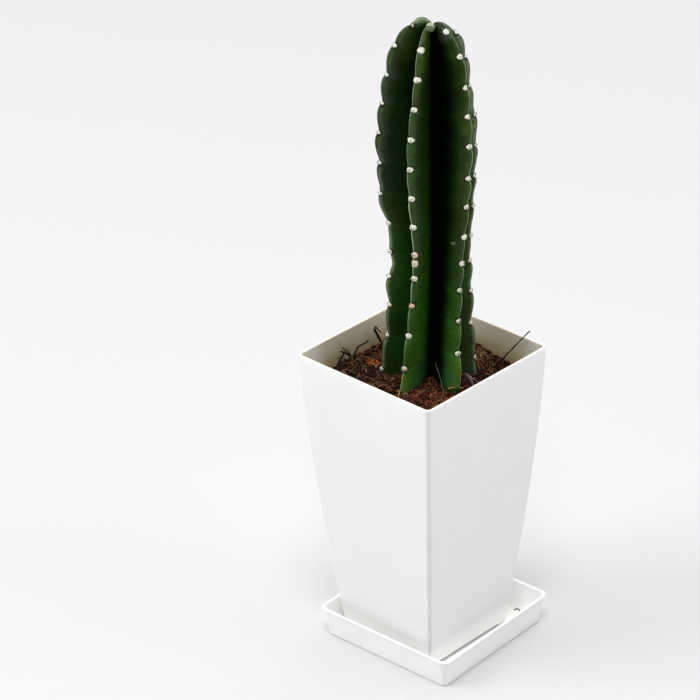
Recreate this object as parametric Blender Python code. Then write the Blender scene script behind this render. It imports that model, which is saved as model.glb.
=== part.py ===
"""A potted column cactus: a square saucer, a tall square pot, soil, coconut fibre mulch and a ribbed stem.

Metres, +Z up. The origin is on the ground under the pot's axis, and X and Y are square to the
pot's sides. The saucer is turned and shifted a little under the pot, as it was set down.
"""

import math
import random

import bmesh
import bpy
import numpy as np
from mathutils import Vector, noise

MM = 0.001
GAP = 0.3 * MM
HOLE_GAP = 0.39 * MM

# Saucer
SAUCER_TOP_HALF = 57.6 * MM
SAUCER_BOTTOM_HALF = 53.4 * MM
SAUCER_HEIGHT = 22.4 * MM
SAUCER_WALL = 1.6 * MM
SAUCER_FLOOR = 1.8 * MM
SAUCER_CORNER = 6.0 * MM
SAUCER_CORNER_TAPER = 0.6
SAUCER_FILLET = 2.0 * MM
SAUCER_FILLET_CUT = 0.3
SAUCER_LIP = 0.5 * MM
SAUCER_LIP_HEIGHT = 1.5 * MM
SAUCER_SHIFT = (4.2 * MM, 3.9 * MM)
SAUCER_TURN = math.radians(2.55)
SHARP_CORNER = 2.0 * MM

# Pot
POT_RIM_HALF = 60.0 * MM
POT_BOTTOM_HALF = 41.0 * MM
POT_TOP = 223.0 * MM
POT_WALL = 1.9 * MM
POT_FLOOR = 2.2 * MM
POT_CORNER = 4.0 * MM
POT_INNER_CORNER = 2.8 * MM
POT_BULGE = 1.37
POT_BASE_EDGE = 1.5 * MM
RIM_EDGE = 0.4 * MM
FOOT_HEIGHT = 2.5 * MM
FOOT_SIZE = 9.0 * MM
FOOT_RADIUS = 2.5 * MM
FOOT_TAPER = 0.92
FOOT_ROOT = 0.8 * MM
DRAIN_RADIUS = 4.0 * MM
DRAIN_CIRCLE = 22.0 * MM
POT_FOOT_Z = SAUCER_FLOOR + GAP
POT_BASE_Z = POT_FOOT_Z + FOOT_HEIGHT
POT_FLOOR_Z = POT_BASE_Z + POT_FLOOR

# Soil and mulch
SOIL_TOP = 196.0 * MM
SOIL_ROWS = 5
SOIL_EDGE = 2.0 * MM
MULCH_LEVEL = 201.0 * MM
MULCH_RELIEF = 1.6 * MM
LUMP_SIZE = 9.0 * MM
SMALL_LUMP_SIZE = 4.0 * MM
MULCH_AT_STEM = 199.2 * MM
STEM_MARGIN = 7.0 * MM
MULCH_RINGS = 11
MULCH_SIDE_POINTS = 9
MULCH_CENTRE = 5.0 * MM
HEAPS = [(-39.0, -20.0), (25.0, 44.0)]
HEAP_HEIGHT = 5.0 * MM
HEAP_SPREAD = 9.0 * MM
FURROW_FILL = 6.0 * MM
FILL_INNER = 12.0 * MM
FILL_OUTER = 26.0 * MM
CHIP_COUNT = 31
CHIP_LENGTH = (7.0 * MM, 14.0 * MM)
CHIP_WIDTH = (1.8 * MM, 3.8 * MM)
CHIP_THICKNESS = (1.4 * MM, 2.2 * MM)
CHIP_OUTLINE = [(-0.5, 0.25), (-0.3, -0.5), (0.35, -0.4), (0.5, 0.0), (0.2, 0.5)]
CHIP_TILT = math.radians(9.0)
FIBRE_COUNT = 14
FIBRE_REACH = (12.0 * MM, 26.0 * MM)
FIBRE_RISE = (2.0 * MM, 7.0 * MM)
FIBRE_ROOT = 2.0 * MM
FIBRE_RADIUS = 0.65 * MM
FIBRE_TAPER = 0.5
FIBRE_STEPS = 5
CLEAR_OF_STEM = 5.0 * MM
CLEAR_OF_WALL = 1.6 * MM
LONG_FIBRES = [[(27, 37, 199), (30, 40.5, 203), (38, 49, 217), (45.6, 57, 230.5)],
               [(28, 51, 200), (32, 48.5, 207.5), (36.5, 46, 200)],
               [(-43, 17, 199), (-49, 14.5, 206), (-54.5, 12.4, 213)],
               [(-53, -12, 199), (-53.2, -6, 208), (-53.8, 1, 209), (-53, 8, 200)],
               [(-50, -31, 199), (-52.4, -25, 206.5), (-53.6, -18, 207.5), (-52, -12, 200)],
               [(-40, -14, 200), (-37.5, -18, 211), (-35.5, -22, 213)],
               [(-43, -21, 200), (-39, -21.5, 210), (-34.5, -19.5, 212)]]
SEED = 7

# Stem: its axis leans and bows a little, as seen from the pot's corner that faces the viewer
VIEW_TURN = math.radians(42.75)
AXIS_RIGHT = 4.5 * MM
AXIS_AWAY = 5.6 * MM
AXIS_LEAN = 0.9 * MM
AXIS_BOW = 5.6 * MM
GROUND = 201.0 * MM
CROWN_START = 426.0 * MM
CROWN_TOP = 456.8 * MM
APEX = 455.0 * MM
CROWN_SHIFT = 4.5 * MM
CROWN_TILT = 0.3
RIB_COUNT = 5
RIB_ANGLES = [186.5, 127.0, 53.0, -3.5, -88.0]
TWIST = [(201, 0), (250, -6.8), (299, -15), (343, -14.5), (387, -16), (430, -23.5), (457, -28)]
CREST_LINE = [(160, 15), (176, 25), (190, 31.8), (201, 32.4), (235, 27.8), (285, 26.0), (330, 29.6), (375, 32.5),
              (402, 30.0), (426, 26.6), (443.5, 21.6), (453, 14.6), (456.4, 7.5), (456.8, 3), (455, 0)]
FURROW_SHARE = 0.3
BURIED_FURROW = 0.95
CREST_ROUND = 0.14
FLANK_POWER = 2.0
HOLE_TOP = 214.0 * MM

# Areoles: woolly cushions in the notches of each crest, each with short spines
AREOLE_SPACING = [(200, 28), (230, 24), (262, 22), (284, 18.5), (306, 22), (370, 21.5), (427, 19.5), (445, 18),
                  (457, 6)]
AREOLE_PACE = [1.0, 0.966, 0.972, 0.99, 1.0]
FIRST_AREOLES = [204.2, 219.0, 201.6, 212.5, 217.0]
LOWEST_AREOLE = 203.0 * MM
PAUSED_RIB = 1
PAUSE_HEIGHT = 298.0
CROWN_CLEAR = 10.0 * MM
NOTCH_DEPTH = [(201, 2.6), (280, 2.4), (300, 1.0), (320, 1.6), (345, 2.7), (426, 2.6), (453, 1.2), (457, 0.3)]
NOTCH_SKEW = 0.63
AREOLE_RADIUS = 2.7 * MM
AREOLE_HEIGHT = 2.3 * MM
AREOLE_SHAPE = ((0.8, -0.6), (1.0, 0.25), (0.6, 1.0))
AREOLE_SIDES = 6
SPINE_LENGTH = 4.2 * MM
SPINE_RADIUS = 0.35 * MM
SPINE_VARIATION = (0.8, 1.15)
SPINE_LEAN = (0.55, 0.9)
SPINE_SWAY = 0.4
SPINE_ROOT = 0.4
SPINES_EACH = 3
LOWEST_SPINES = 212.0 * MM
CACTUS_EDGE_ANGLE = 50.0

# Mesh steps
CORNER_STEPS = 4
POT_ROWS = 7
DRAIN_SIDES = 12
CURVE_STEPS = 8
BURIED_STEP = 8.0 * MM
STEM_STEP = 4.4 * MM
STEM_END = 1.6 * MM
RIB_STEPS = 4
RIB_CROWDING = 1.6


def material(name, colour, roughness):
    made = bpy.data.materials.new(name)
    made.use_nodes = True
    shader = made.node_tree.nodes["Principled BSDF"]
    shader.inputs["Base Color"].default_value = (*colour, 1.0)
    shader.inputs["Roughness"].default_value = roughness
    shader.inputs["Metallic"].default_value = 0.0
    return made


def add_object(name, points, faces, surface=None):
    mesh = bpy.data.meshes.new(name)
    mesh.from_pydata([tuple(p) for p in points], [], faces)
    if surface:
        mesh.materials.append(surface)
    made = bpy.data.objects.new(name, mesh)
    bpy.context.scene.collection.objects.link(made)
    return made


def loft(name, rings, surface=None):
    """A closed solid through rings with the same number of points, capped at both ends.

    Its sides are triangles that all run one way, so a solid and a larger copy of it stay parallel.
    """
    count = len(rings[0])
    points = [p for ring in rings for p in ring]
    faces = [tuple(reversed(range(count)))]
    for row in range(len(rings) - 1):
        low = row * count
        for i in range(count):
            j = (i + 1) % count
            faces.append((low + i, low + j, low + count + j))
            faces.append((low + i, low + count + j, low + count + i))
    last = (len(rings) - 1) * count
    faces.append(tuple(last + i for i in range(count)))
    return add_object(name, points, faces, surface)


def circle(x, y, z, radius, sides):
    turns = [2 * math.pi * k / sides for k in range(sides)]
    return [Vector((x + radius * math.cos(a), y + radius * math.sin(a), z)) for a in turns]


def smooth(made, angle=35.0):
    made.data.shade_smooth()
    made.data.set_sharp_from_angle(angle=math.radians(angle))


def apply_boolean(made, operation, tool=None, tools=None):
    """Cuts or joins with one object, or with all of a collection, then removes what it used."""
    step = made.modifiers.new(operation.lower(), "BOOLEAN")
    step.operation = operation
    step.solver = "EXACT"
    if tools:
        step.operand_type = "COLLECTION"
        step.collection = tools
    else:
        step.object = tool
    graph = bpy.context.evaluated_depsgraph_get()
    result = bpy.data.meshes.new_from_object(made.evaluated_get(graph))
    made.modifiers.clear()
    made.data = result
    for used in list(tools.objects) if tools else [tool]:
        bpy.data.objects.remove(used)
    if tools:
        bpy.data.collections.remove(tools)


def keep_largest_body(made):
    """Drops any loose scrap that a union or a cut left behind."""
    work = bmesh.new()
    work.from_mesh(made.data)
    unseen = set(work.verts)
    largest = set()
    while unseen:
        stack = [unseen.pop()]
        body = set(stack)
        while stack:
            near = {edge.other_vert(vert) for vert in [stack.pop()] for edge in vert.link_edges} & unseen
            unseen -= near
            body |= near
            stack.extend(near)
        if len(body) > len(largest):
            largest = body
    bmesh.ops.delete(work, geom=[v for v in work.verts if v not in largest], context="VERTS")
    work.to_mesh(made.data)
    work.free()


def fuse(made, parts):
    """Joins loose parts to the solid that they grow from or lie in, in one union."""
    tools = bpy.data.collections.new(made.name + "_parts")
    bpy.context.scene.collection.children.link(tools)
    for part in parts:
        bpy.context.scene.collection.objects.unlink(part)
        tools.objects.link(part)
    apply_boolean(made, "UNION", tools=tools)
    keep_largest_body(made)


def smooth_curve(knots, steps=CURVE_STEPS):
    """Points along a smooth line through the knots, the same number between each two."""
    knots = [Vector(k) for k in knots]
    line = []
    for i in range(len(knots) - 1):
        before = knots[max(i - 1, 0)]
        here = knots[i]
        ahead = knots[i + 1]
        after = knots[min(i + 2, len(knots) - 1)]
        for k in range(steps):
            t = k / steps
            square = (2 * before - 5 * here + 4 * ahead - after) * t**2
            cube = (3 * here - before - 3 * ahead + after) * t**3
            line.append(0.5 * (2 * here + (ahead - before) * t + square + cube))
    line.append(knots[-1])
    return line


def table_value(knots, at):
    """The height of a smooth curve through the knots at one place."""
    line = smooth_curve(knots)
    return float(np.interp(at, [p.x for p in line], [p.y for p in line]))


def rounded_square(half, radius, z, side_points=0):
    """Points round a square with arc corners, anticlockwise, with extra points along each side."""
    points = []
    for corner in range(4):
        cos = round(math.cos(corner * math.pi / 2))
        sin = round(math.sin(corner * math.pi / 2))
        outline = []
        for k in range(CORNER_STEPS + 1):
            angle = k / CORNER_STEPS * math.pi / 2
            outline.append((half - radius + radius * math.cos(angle), half - radius + radius * math.sin(angle)))
        for k in range(side_points):
            outline.append(((half - radius) * (1 - 2 * (k + 1) / (side_points + 1)), half))
        points += [Vector((x * cos - y * sin, x * sin + y * cos, z)) for x, y in outline]
    return points


def build_saucer():
    top_half = SAUCER_TOP_HALF - SAUCER_LIP

    def outer(z):
        return SAUCER_BOTTOM_HALF + (top_half - SAUCER_BOTTOM_HALF) * z / SAUCER_HEIGHT

    def inner(z):
        return outer(z) - SAUCER_WALL

    lip = SAUCER_HEIGHT - SAUCER_LIP_HEIGHT
    high = SAUCER_HEIGHT - RIM_EDGE
    fillet = SAUCER_FLOOR + SAUCER_FILLET
    cut = SAUCER_FILLET_CUT * SAUCER_FILLET
    profile = [(outer(0) - RIM_EDGE, 0), (outer(RIM_EDGE), RIM_EDGE), (outer(lip), lip),
               (outer(lip) + SAUCER_LIP, lip + SAUCER_LIP), (SAUCER_TOP_HALF, high),
               (SAUCER_TOP_HALF - RIM_EDGE, SAUCER_HEIGHT), (inner(high) + RIM_EDGE, SAUCER_HEIGHT),
               (inner(high), high), (inner(fillet), fillet),
               (inner(SAUCER_FLOOR) - cut, SAUCER_FLOOR + cut), (inner(SAUCER_FLOOR) - SAUCER_FILLET, SAUCER_FLOOR)]
    cos, sin = math.cos(SAUCER_TURN), math.sin(SAUCER_TURN)
    rings = []
    for half, z in profile:
        radius = max(SAUCER_CORNER - SAUCER_CORNER_TAPER * (SAUCER_TOP_HALF - half), SHARP_CORNER)
        rings.append([Vector((p.x * cos - p.y * sin + SAUCER_SHIFT[0], p.x * sin + p.y * cos + SAUCER_SHIFT[1], z))
                      for p in rounded_square(half, radius, z)])
    smooth(loft("saucer", rings, material("saucer_plastic", (0.86, 0.86, 0.85), 0.5)))


def pot_half(z):
    """Half the pot's outer width at a height: it flares from the base and curves up to the rim."""
    t = min(max((z - POT_BASE_Z) / (POT_TOP - POT_BASE_Z), 0.0), 1.0)
    return POT_BOTTOM_HALF + (POT_RIM_HALF - POT_BOTTOM_HALF) * (1 - (1 - t) ** POT_BULGE)


def pot_inner(z):
    return pot_half(z) - POT_WALL


def build_pot():
    low = POT_BASE_Z + POT_BASE_EDGE
    bottom = POT_FLOOR_Z + POT_BASE_EDGE
    high = POT_TOP - RIM_EDGE
    rings = [rounded_square(POT_BOTTOM_HALF - POT_BASE_EDGE, POT_CORNER, POT_BASE_Z),
             rounded_square(pot_half(POT_BASE_Z) - RIM_EDGE, POT_CORNER, POT_BASE_Z + RIM_EDGE)]
    for row in range(POT_ROWS + 1):
        z = low + (high - low) * row / POT_ROWS
        rings.append(rounded_square(pot_half(z), POT_CORNER, z))
    rings.append(rounded_square(POT_RIM_HALF - RIM_EDGE, POT_CORNER - RIM_EDGE, POT_TOP))
    rings.append(rounded_square(POT_RIM_HALF - POT_WALL + RIM_EDGE, POT_INNER_CORNER + RIM_EDGE, POT_TOP))
    for row in range(POT_ROWS + 1):
        z = high + (bottom - high) * row / POT_ROWS
        rings.append(rounded_square(pot_inner(z), POT_INNER_CORNER, z))
    rings.append(rounded_square(pot_inner(POT_FLOOR_Z) - POT_BASE_EDGE, POT_INNER_CORNER, POT_FLOOR_Z))
    made = loft("pot", rings, material("pot_plastic", (0.88, 0.88, 0.87), 0.45))
    add_feet(made)
    drill_drains(made)
    smooth(made)


def add_feet(pot):
    """A low round-cornered foot under each corner of the base, its top sunk in the base."""
    feet = []
    middle = POT_BOTTOM_HALF - POT_BASE_EDGE - FOOT_SIZE / 2
    for x in (-middle, middle):
        for y in (-middle, middle):
            rings = []
            for size, z in ((FOOT_TAPER, POT_FOOT_Z), (1.0, POT_BASE_Z + FOOT_ROOT)):
                square = rounded_square(FOOT_SIZE / 2 * size, FOOT_RADIUS, z)
                rings.append([p + Vector((x, y, 0)) for p in square])
            feet.append(loft("foot", rings))
    fuse(pot, feet)


def drill_drains(pot):
    """Five round drainage holes through the base: one in the middle and four round it."""
    places = [(0.0, 0.0)]
    places += [(p.x, p.y) for p in circle(0, 0, 0, DRAIN_CIRCLE, 4)]
    for x, y in places:
        rings = [circle(x, y, z, DRAIN_RADIUS, DRAIN_SIDES) for z in (POT_FOOT_Z, POT_FLOOR_Z + FOOT_HEIGHT)]
        apply_boolean(pot, "DIFFERENCE", tool=loft("drain", rings))


class Stem:
    """The stem's form: five ribs round a bowed axis, each with a crest that dips at its areoles."""

    def __init__(self):
        line = np.array([tuple(p) for p in smooth_curve(CREST_LINE)]) * MM
        self.heights = line[:, 0]
        self.radii = line[:, 1]
        lengths = np.hypot(np.diff(self.heights), np.diff(self.radii))
        self.arcs = np.concatenate([[0.0], np.cumsum(lengths)])
        self.length = float(self.arcs[-1])
        self.twist = smooth_curve(TWIST)
        self.crown_radius = self.crest(self.arc_at(CROWN_START))[1]
        self.ground_arc = self.arc_at(GROUND)
        self.areoles = [self.areole_arcs(rib) for rib in range(RIB_COUNT)]

    def arc_at(self, height):
        """Distance along the crest from the root's end to a height below the top of the crown."""
        top = int(np.argmax(self.heights))
        return float(np.interp(height, self.heights[:top], self.arcs[:top]))

    def crest(self, arc):
        """Height and radius of the plain crest, and its outward way as a share out and a share up."""
        height = float(np.interp(arc, self.arcs, self.heights))
        radius = float(np.interp(arc, self.arcs, self.radii))
        ends = [arc - MM, arc + MM]
        rise = float(np.diff(np.interp(ends, self.arcs, self.heights))[0])
        run = float(np.diff(np.interp(ends, self.arcs, self.radii))[0])
        return height, radius, Vector((rise, -run)).normalized()

    def areole_arcs(self, rib):
        """Where a rib's areoles lie along its crest, from the ground to the crown."""
        places = []
        arc = self.arc_at(FIRST_AREOLES[rib] * MM)
        pause = self.arc_at(PAUSE_HEIGHT * MM)
        while arc < self.length - CROWN_CLEAR:
            step = table_value(AREOLE_SPACING, self.crest(arc)[0] / MM) * AREOLE_PACE[rib] * MM
            places.append(arc)
            if rib == PAUSED_RIB and arc < pause < arc + step:
                places.append(pause)
            arc += step
        return places

    def bulge(self, rib, arc):
        """How far the crest stands out between two areoles: most a little under the upper one."""
        below = [a for a in self.areoles[rib] if a < arc]
        above = [a for a in self.areoles[rib] if a >= arc]
        if not below:
            return 0.0
        upper = above[0] if above else self.length
        down = (upper - arc) / (upper - below[-1])
        depth = table_value(NOTCH_DEPTH, self.crest(arc)[0] / MM) * MM
        return depth * math.sin(math.pi * down**NOTCH_SKEW)

    def direction(self, rib, height):
        """A rib's angle about the axis at a height. Ribs past the last go round again."""
        twist = float(np.interp(height / MM, [p.x for p in self.twist], [p.y for p in self.twist]))
        around = 2 * math.pi * (rib // RIB_COUNT)
        return VIEW_TURN - math.radians(RIB_ANGLES[rib % RIB_COUNT] + twist) + around

    def place(self, arc, angle, radius, height):
        """A point of the ring at an arc, with the axis's lean and bow and the bent crown."""
        level, crest_radius, _ = self.crest(arc)
        bend = 1 - crest_radius / self.crown_radius if level > CROWN_START else 0.0
        t = min(max((height - GROUND) / (CROWN_TOP - GROUND), 0.0), 1.0)
        right = AXIS_RIGHT + AXIS_LEAN * t + AXIS_BOW * t * (1 - t) + CROWN_SHIFT * bend**2
        across = Vector((math.cos(VIEW_TURN), math.sin(VIEW_TURN), 0.0))
        away = Vector((-math.sin(VIEW_TURN), math.cos(VIEW_TURN), 0.0))
        offset = Vector((radius * math.cos(angle), radius * math.sin(angle), 0.0))
        rise = height - CROWN_TILT * bend * offset.dot(across)
        return across * right + away * AXIS_AWAY + offset + Vector((0.0, 0.0, rise))

    def furrow(self, arc):
        """Height and radius of the furrow's floor on the ring at an arc. The furrows fade out underground."""
        height, radius, _ = self.crest(arc)
        buried = min(max((SOIL_TOP - height) / (SOIL_TOP - self.heights[0]), 0.0), 1.0)
        share = FURROW_SHARE + (BURIED_FURROW - FURROW_SHARE) * buried
        if height > CROWN_START:
            height = CROWN_START + (height - CROWN_START) * (APEX - CROWN_START) / (CROWN_TOP - CROWN_START)
        return height, radius * share

    def crest_point(self, rib, arc):
        height, radius, out = self.crest(arc)
        stand = self.bulge(rib, arc)
        return self.place(arc, self.direction(rib, height), radius + out.x * stand, height + out.y * stand)

    def ring(self, arc):
        """The stem's outline at an arc."""
        level, radius, out = self.crest(arc)
        floor_height, floor_radius = self.furrow(arc)
        shares = [(k / RIB_STEPS) ** RIB_CROWDING for k in range(RIB_STEPS + 1)]
        points = []
        for rib in range(RIB_COUNT):
            here = self.direction(rib, level)
            ahead = (self.direction(rib + 1, level) - here) / 2
            behind = (self.direction(rib - 1, level) - here) / 2
            stand = self.bulge(rib, arc)
            deep_radius = radius + out.x * stand - floor_radius
            deep_height = level + out.y * stand - floor_height
            turns = [(here + behind * x, x) for x in reversed(shares[1:-1])]
            turns += [(here + ahead * x, x) for x in shares]
            for angle, x in turns:
                depth = crest_profile(x)
                points.append(self.place(arc, angle, floor_radius + deep_radius * depth,
                                         floor_height + deep_height * depth))
        return points

    def row_arcs(self):
        """Where the rings lie: widely spaced underground, closely above."""
        buried = max(round(self.ground_arc / BURIED_STEP), 1)
        shown = self.length - STEM_END - self.ground_arc
        rows = round(shown / STEM_STEP)
        return ([self.ground_arc * k / buried for k in range(buried)]
                + [self.ground_arc + shown * k / rows for k in range(rows + 1)])


def crest_profile(x):
    """Share of a rib's depth left at x, 0 at the crest and 1 in the furrow: a thin rib with a rounded crest."""
    start = CREST_ROUND
    return (1 - (math.hypot(x, start) - start) / (math.hypot(1, start) - start)) ** FLANK_POWER


def stood_off(ring, gap):
    """A ring moved out level from its own outline."""
    moved = []
    for i, point in enumerate(ring):
        along = ring[(i + 1) % len(ring)] - ring[i - 1]
        moved.append(point + Vector((along.y, -along.x, 0.0)).normalized() * gap)
    return moved


def stem_cutter(stem, lowest):
    """The stem's buried outline, a little larger, which cuts the hole that the stem stands in."""
    arcs = [arc for arc in stem.row_arcs() if lowest <= stem.crest(arc)[0] <= HOLE_TOP]
    rings = [stood_off(stem.ring(arc), HOLE_GAP) for arc in arcs]
    rings.insert(0, [p - Vector((0, 0, HOLE_GAP)) for p in rings[0]])
    return loft("stem_hole", rings)


def areole(place, out, up):
    """A low woolly cushion, its root sunk in the crest."""
    side = up.cross(out)
    rings = []
    for share, rise in AREOLE_SHAPE:
        ring = circle(0, 0, 0, AREOLE_RADIUS * share, AREOLE_SIDES)
        rings.append([place + side * p.x + up * p.y + out * (AREOLE_HEIGHT * rise) for p in ring])
    return loft("areole", rings)


def spine(root, direction, length):
    """A straight three-sided needle, its root sunk in the wool."""
    side = direction.orthogonal().normalized()
    other = direction.cross(side)
    base = [root + side * p.x + other * p.y for p in circle(0, 0, 0, SPINE_RADIUS, 3)]
    return add_object("spine", base + [root + direction * length], [(2, 1, 0), (0, 1, 3), (1, 2, 3), (2, 0, 3)])


def build_cactus(stem):
    rings = [stem.ring(arc) for arc in stem.row_arcs()]
    made = loft("cactus", rings, material("cactus_skin", (0.06, 0.13, 0.045), 0.5))
    draw = random.Random(SEED)
    parts = []
    for rib in range(RIB_COUNT):
        for arc in stem.areoles[rib]:
            height, _, way = stem.crest(arc)
            if height < LOWEST_AREOLE:
                continue
            place = stem.crest_point(rib, arc)
            up = stem.crest_point(rib, arc + AREOLE_RADIUS) - stem.crest_point(rib, arc - AREOLE_RADIUS)
            up.normalize()
            angle = stem.direction(rib, height)
            out = Vector((math.cos(angle) * way.x, math.sin(angle) * way.x, way.y))
            out = (out - up * out.dot(up)).normalized()
            parts.append(areole(place, out, up))
            if height < LOWEST_SPINES:
                continue
            side = up.cross(out)
            for k in range(SPINES_EACH):
                turn = math.pi / 2 + (k + draw.uniform(-0.5, 0.5) * SPINE_SWAY) * 2 * math.pi / SPINES_EACH
                lean = draw.uniform(*SPINE_LEAN)
                direction = (out + (side * math.cos(turn) + up * math.sin(turn)) * lean).normalized()
                root = place + out * (AREOLE_HEIGHT * SPINE_ROOT)
                parts.append(spine(root, direction, SPINE_LENGTH * draw.uniform(*SPINE_VARIATION)))
    fuse(made, parts)
    smooth(made, CACTUS_EDGE_ANGLE)


def filling_ring(z, inset, side_points=0):
    """An outline just inside the pot's wall at a height."""
    return rounded_square(pot_inner(z) - GAP - inset, POT_INNER_CORNER, z, side_points)


def build_soil(stem):
    low = POT_FLOOR_Z + GAP
    rings = [filling_ring(low, SOIL_EDGE)]
    for row in range(SOIL_ROWS + 1):
        rings.append(filling_ring(low + SOIL_EDGE + (SOIL_TOP - low - SOIL_EDGE) * row / SOIL_ROWS, 0.0))
    made = loft("potting_soil", rings, material("soil", (0.05, 0.035, 0.025), 0.95))
    apply_boolean(made, "DIFFERENCE", tool=stem_cutter(stem, 0.0))
    keep_largest_body(made)
    smooth(made)


def stem_distance(x, y, outline):
    """Distance in plan from the stem's outline, negative inside it."""
    point = Vector((x, y))
    nearest = 1.0
    inside = False
    for i, here in enumerate(outline):
        ahead = outline[(i + 1) % len(outline)]
        edge = ahead - here
        share = min(max((point - here).dot(edge) / edge.length_squared, 0.0), 1.0)
        nearest = min(nearest, (point - here - edge * share).length)
        if (here.y > y) != (ahead.y > y) and x < here.x + (y - here.y) * edge.x / edge.y:
            inside = not inside
    return -nearest if inside else nearest


def mulch_height(x, y, outline):
    """Height of the mulch: lumpy, heaped beside the left rib and behind, piled up in the stem's furrows."""
    lumps = noise.noise(Vector((x / LUMP_SIZE, y / LUMP_SIZE, SEED)))
    lumps += noise.noise(Vector((x / SMALL_LUMP_SIZE, y / SMALL_LUMP_SIZE, -SEED))) / 2
    free = MULCH_LEVEL + MULCH_RELIEF * lumps
    for heap_x, heap_y in HEAPS:
        away = math.hypot(x - heap_x * MM, y - heap_y * MM)
        free += HEAP_HEIGHT * math.exp(-((away / HEAP_SPREAD) ** 2) / 2)
    share = min(max(stem_distance(x, y, outline) / STEM_MARGIN, 0.0), 1.0)
    centre = sum(outline, Vector((0, 0))) / len(outline)
    depth = min(max((FILL_OUTER - math.hypot(x - centre.x, y - centre.y)) / (FILL_OUTER - FILL_INNER), 0.0), 1.0)
    return MULCH_AT_STEM + (max(free, MULCH_AT_STEM) - MULCH_AT_STEM) * share + FURROW_FILL * depth


def is_clear(points, outline):
    """True where all the points lie clear of the stem and of the pot's wall."""
    wall = pot_inner(MULCH_LEVEL) - GAP - CLEAR_OF_WALL
    return all(max(abs(p.x), abs(p.y)) < wall and stem_distance(p.x, p.y, outline) > CLEAR_OF_STEM for p in points)


def chip_rings(draw, place):
    """A flat splinter of coconut husk lying nearly level, with tapered ends."""
    length = draw.uniform(*CHIP_LENGTH)
    width = draw.uniform(*CHIP_WIDTH)
    thickness = draw.uniform(*CHIP_THICKNESS)
    yaw = draw.uniform(0, 2 * math.pi)
    tilt = draw.uniform(-CHIP_TILT, CHIP_TILT)
    along = Vector((math.cos(yaw) * math.cos(tilt), math.sin(yaw) * math.cos(tilt), math.sin(tilt)))
    side = Vector((-math.sin(yaw), math.cos(yaw), 0.0))
    up = along.cross(side)
    return [[place + along * (a * length) + side * (b * width) + up * (level * thickness) for a, b in CHIP_OUTLINE]
            for level in (-0.5, 0.5)]


def fibre(line):
    """A three-sided strand along a line, thinner towards its free end."""
    rings = []
    for i, point in enumerate(line):
        along = (line[min(i + 1, len(line) - 1)] - line[max(i - 1, 0)]).normalized()
        side = along.cross(Vector((0.0, 0.0, 1.0)))
        side = side.normalized() if side.length > 0 else Vector((1.0, 0.0, 0.0))
        up = side.cross(along)
        size = FIBRE_RADIUS * (1 - FIBRE_TAPER * i / (len(line) - 1))
        rings.append([point + side * p.x + up * p.y for p in circle(0, 0, 0, size, 3)])
    return loft("fibre", rings)


def arc_line(draw, outline):
    """A strand's line out of the mulch, over in a low arch and down into it again."""
    reach = pot_inner(MULCH_LEVEL)
    x = draw.uniform(-reach, reach)
    y = draw.uniform(-reach, reach)
    yaw = draw.uniform(0, 2 * math.pi)
    span = draw.uniform(*FIBRE_REACH)
    rise = draw.uniform(*FIBRE_RISE)
    line = []
    for k in range(FIBRE_STEPS + 1):
        t = k / FIBRE_STEPS
        here_x = x + math.cos(yaw) * span * t
        here_y = y + math.sin(yaw) * span * t
        base = mulch_height(x, y, outline) * (1 - t) + mulch_height(here_x, here_y, outline) * t
        line.append(Vector((here_x, here_y, base - FIBRE_ROOT + rise * 4 * t * (1 - t))))
    return line


def build_mulch(stem):
    outline = [p.xy for p in stem.ring(stem.ground_arc)]
    rings = [filling_ring(SOIL_TOP + GAP, 0.0, MULCH_SIDE_POINTS)]
    width = pot_inner(MULCH_LEVEL) - GAP - MULCH_CENTRE
    for k in range(MULCH_RINGS):
        ring = filling_ring(MULCH_LEVEL, width * k / (MULCH_RINGS - 1), MULCH_SIDE_POINTS)
        rings.append([Vector((p.x, p.y, mulch_height(p.x, p.y, outline))) for p in ring])
    made = loft("coir_mulch", rings, material("coir", (0.17, 0.08, 0.035), 0.9))
    draw = random.Random(SEED)
    reach = pot_inner(MULCH_LEVEL)
    parts = []
    while len(parts) < CHIP_COUNT:
        x = draw.uniform(-reach, reach)
        y = draw.uniform(-reach, reach)
        chip = chip_rings(draw, Vector((x, y, mulch_height(x, y, outline))))
        if is_clear(chip[0] + chip[1], outline):
            parts.append(loft("chip", chip))
    while len(parts) < CHIP_COUNT + FIBRE_COUNT:
        line = arc_line(draw, outline)
        if is_clear(line, outline):
            parts.append(fibre(line))
    for knots in LONG_FIBRES:
        parts.append(fibre([p * MM for p in smooth_curve(knots, 2)]))
    fuse(made, parts)
    apply_boolean(made, "DIFFERENCE", tool=stem_cutter(stem, SOIL_TOP - BURIED_STEP * 2))
    keep_largest_body(made)
    smooth(made)


def build():
    for leftover in list(bpy.data.objects):
        bpy.data.objects.remove(leftover)
    stem = Stem()
    build_saucer()
    build_pot()
    build_soil(stem)
    build_mulch(stem)
    build_cactus(stem)


build()
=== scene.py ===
"""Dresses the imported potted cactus: skin, wool, spines, coconut fibre, pot and saucer, with light and camera."""

import math
import random

import bpy
import numpy as np
from mathutils import Matrix, Vector, noise
from mathutils.geometry import tessellate_polygon
from numpy.linalg import norm


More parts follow.
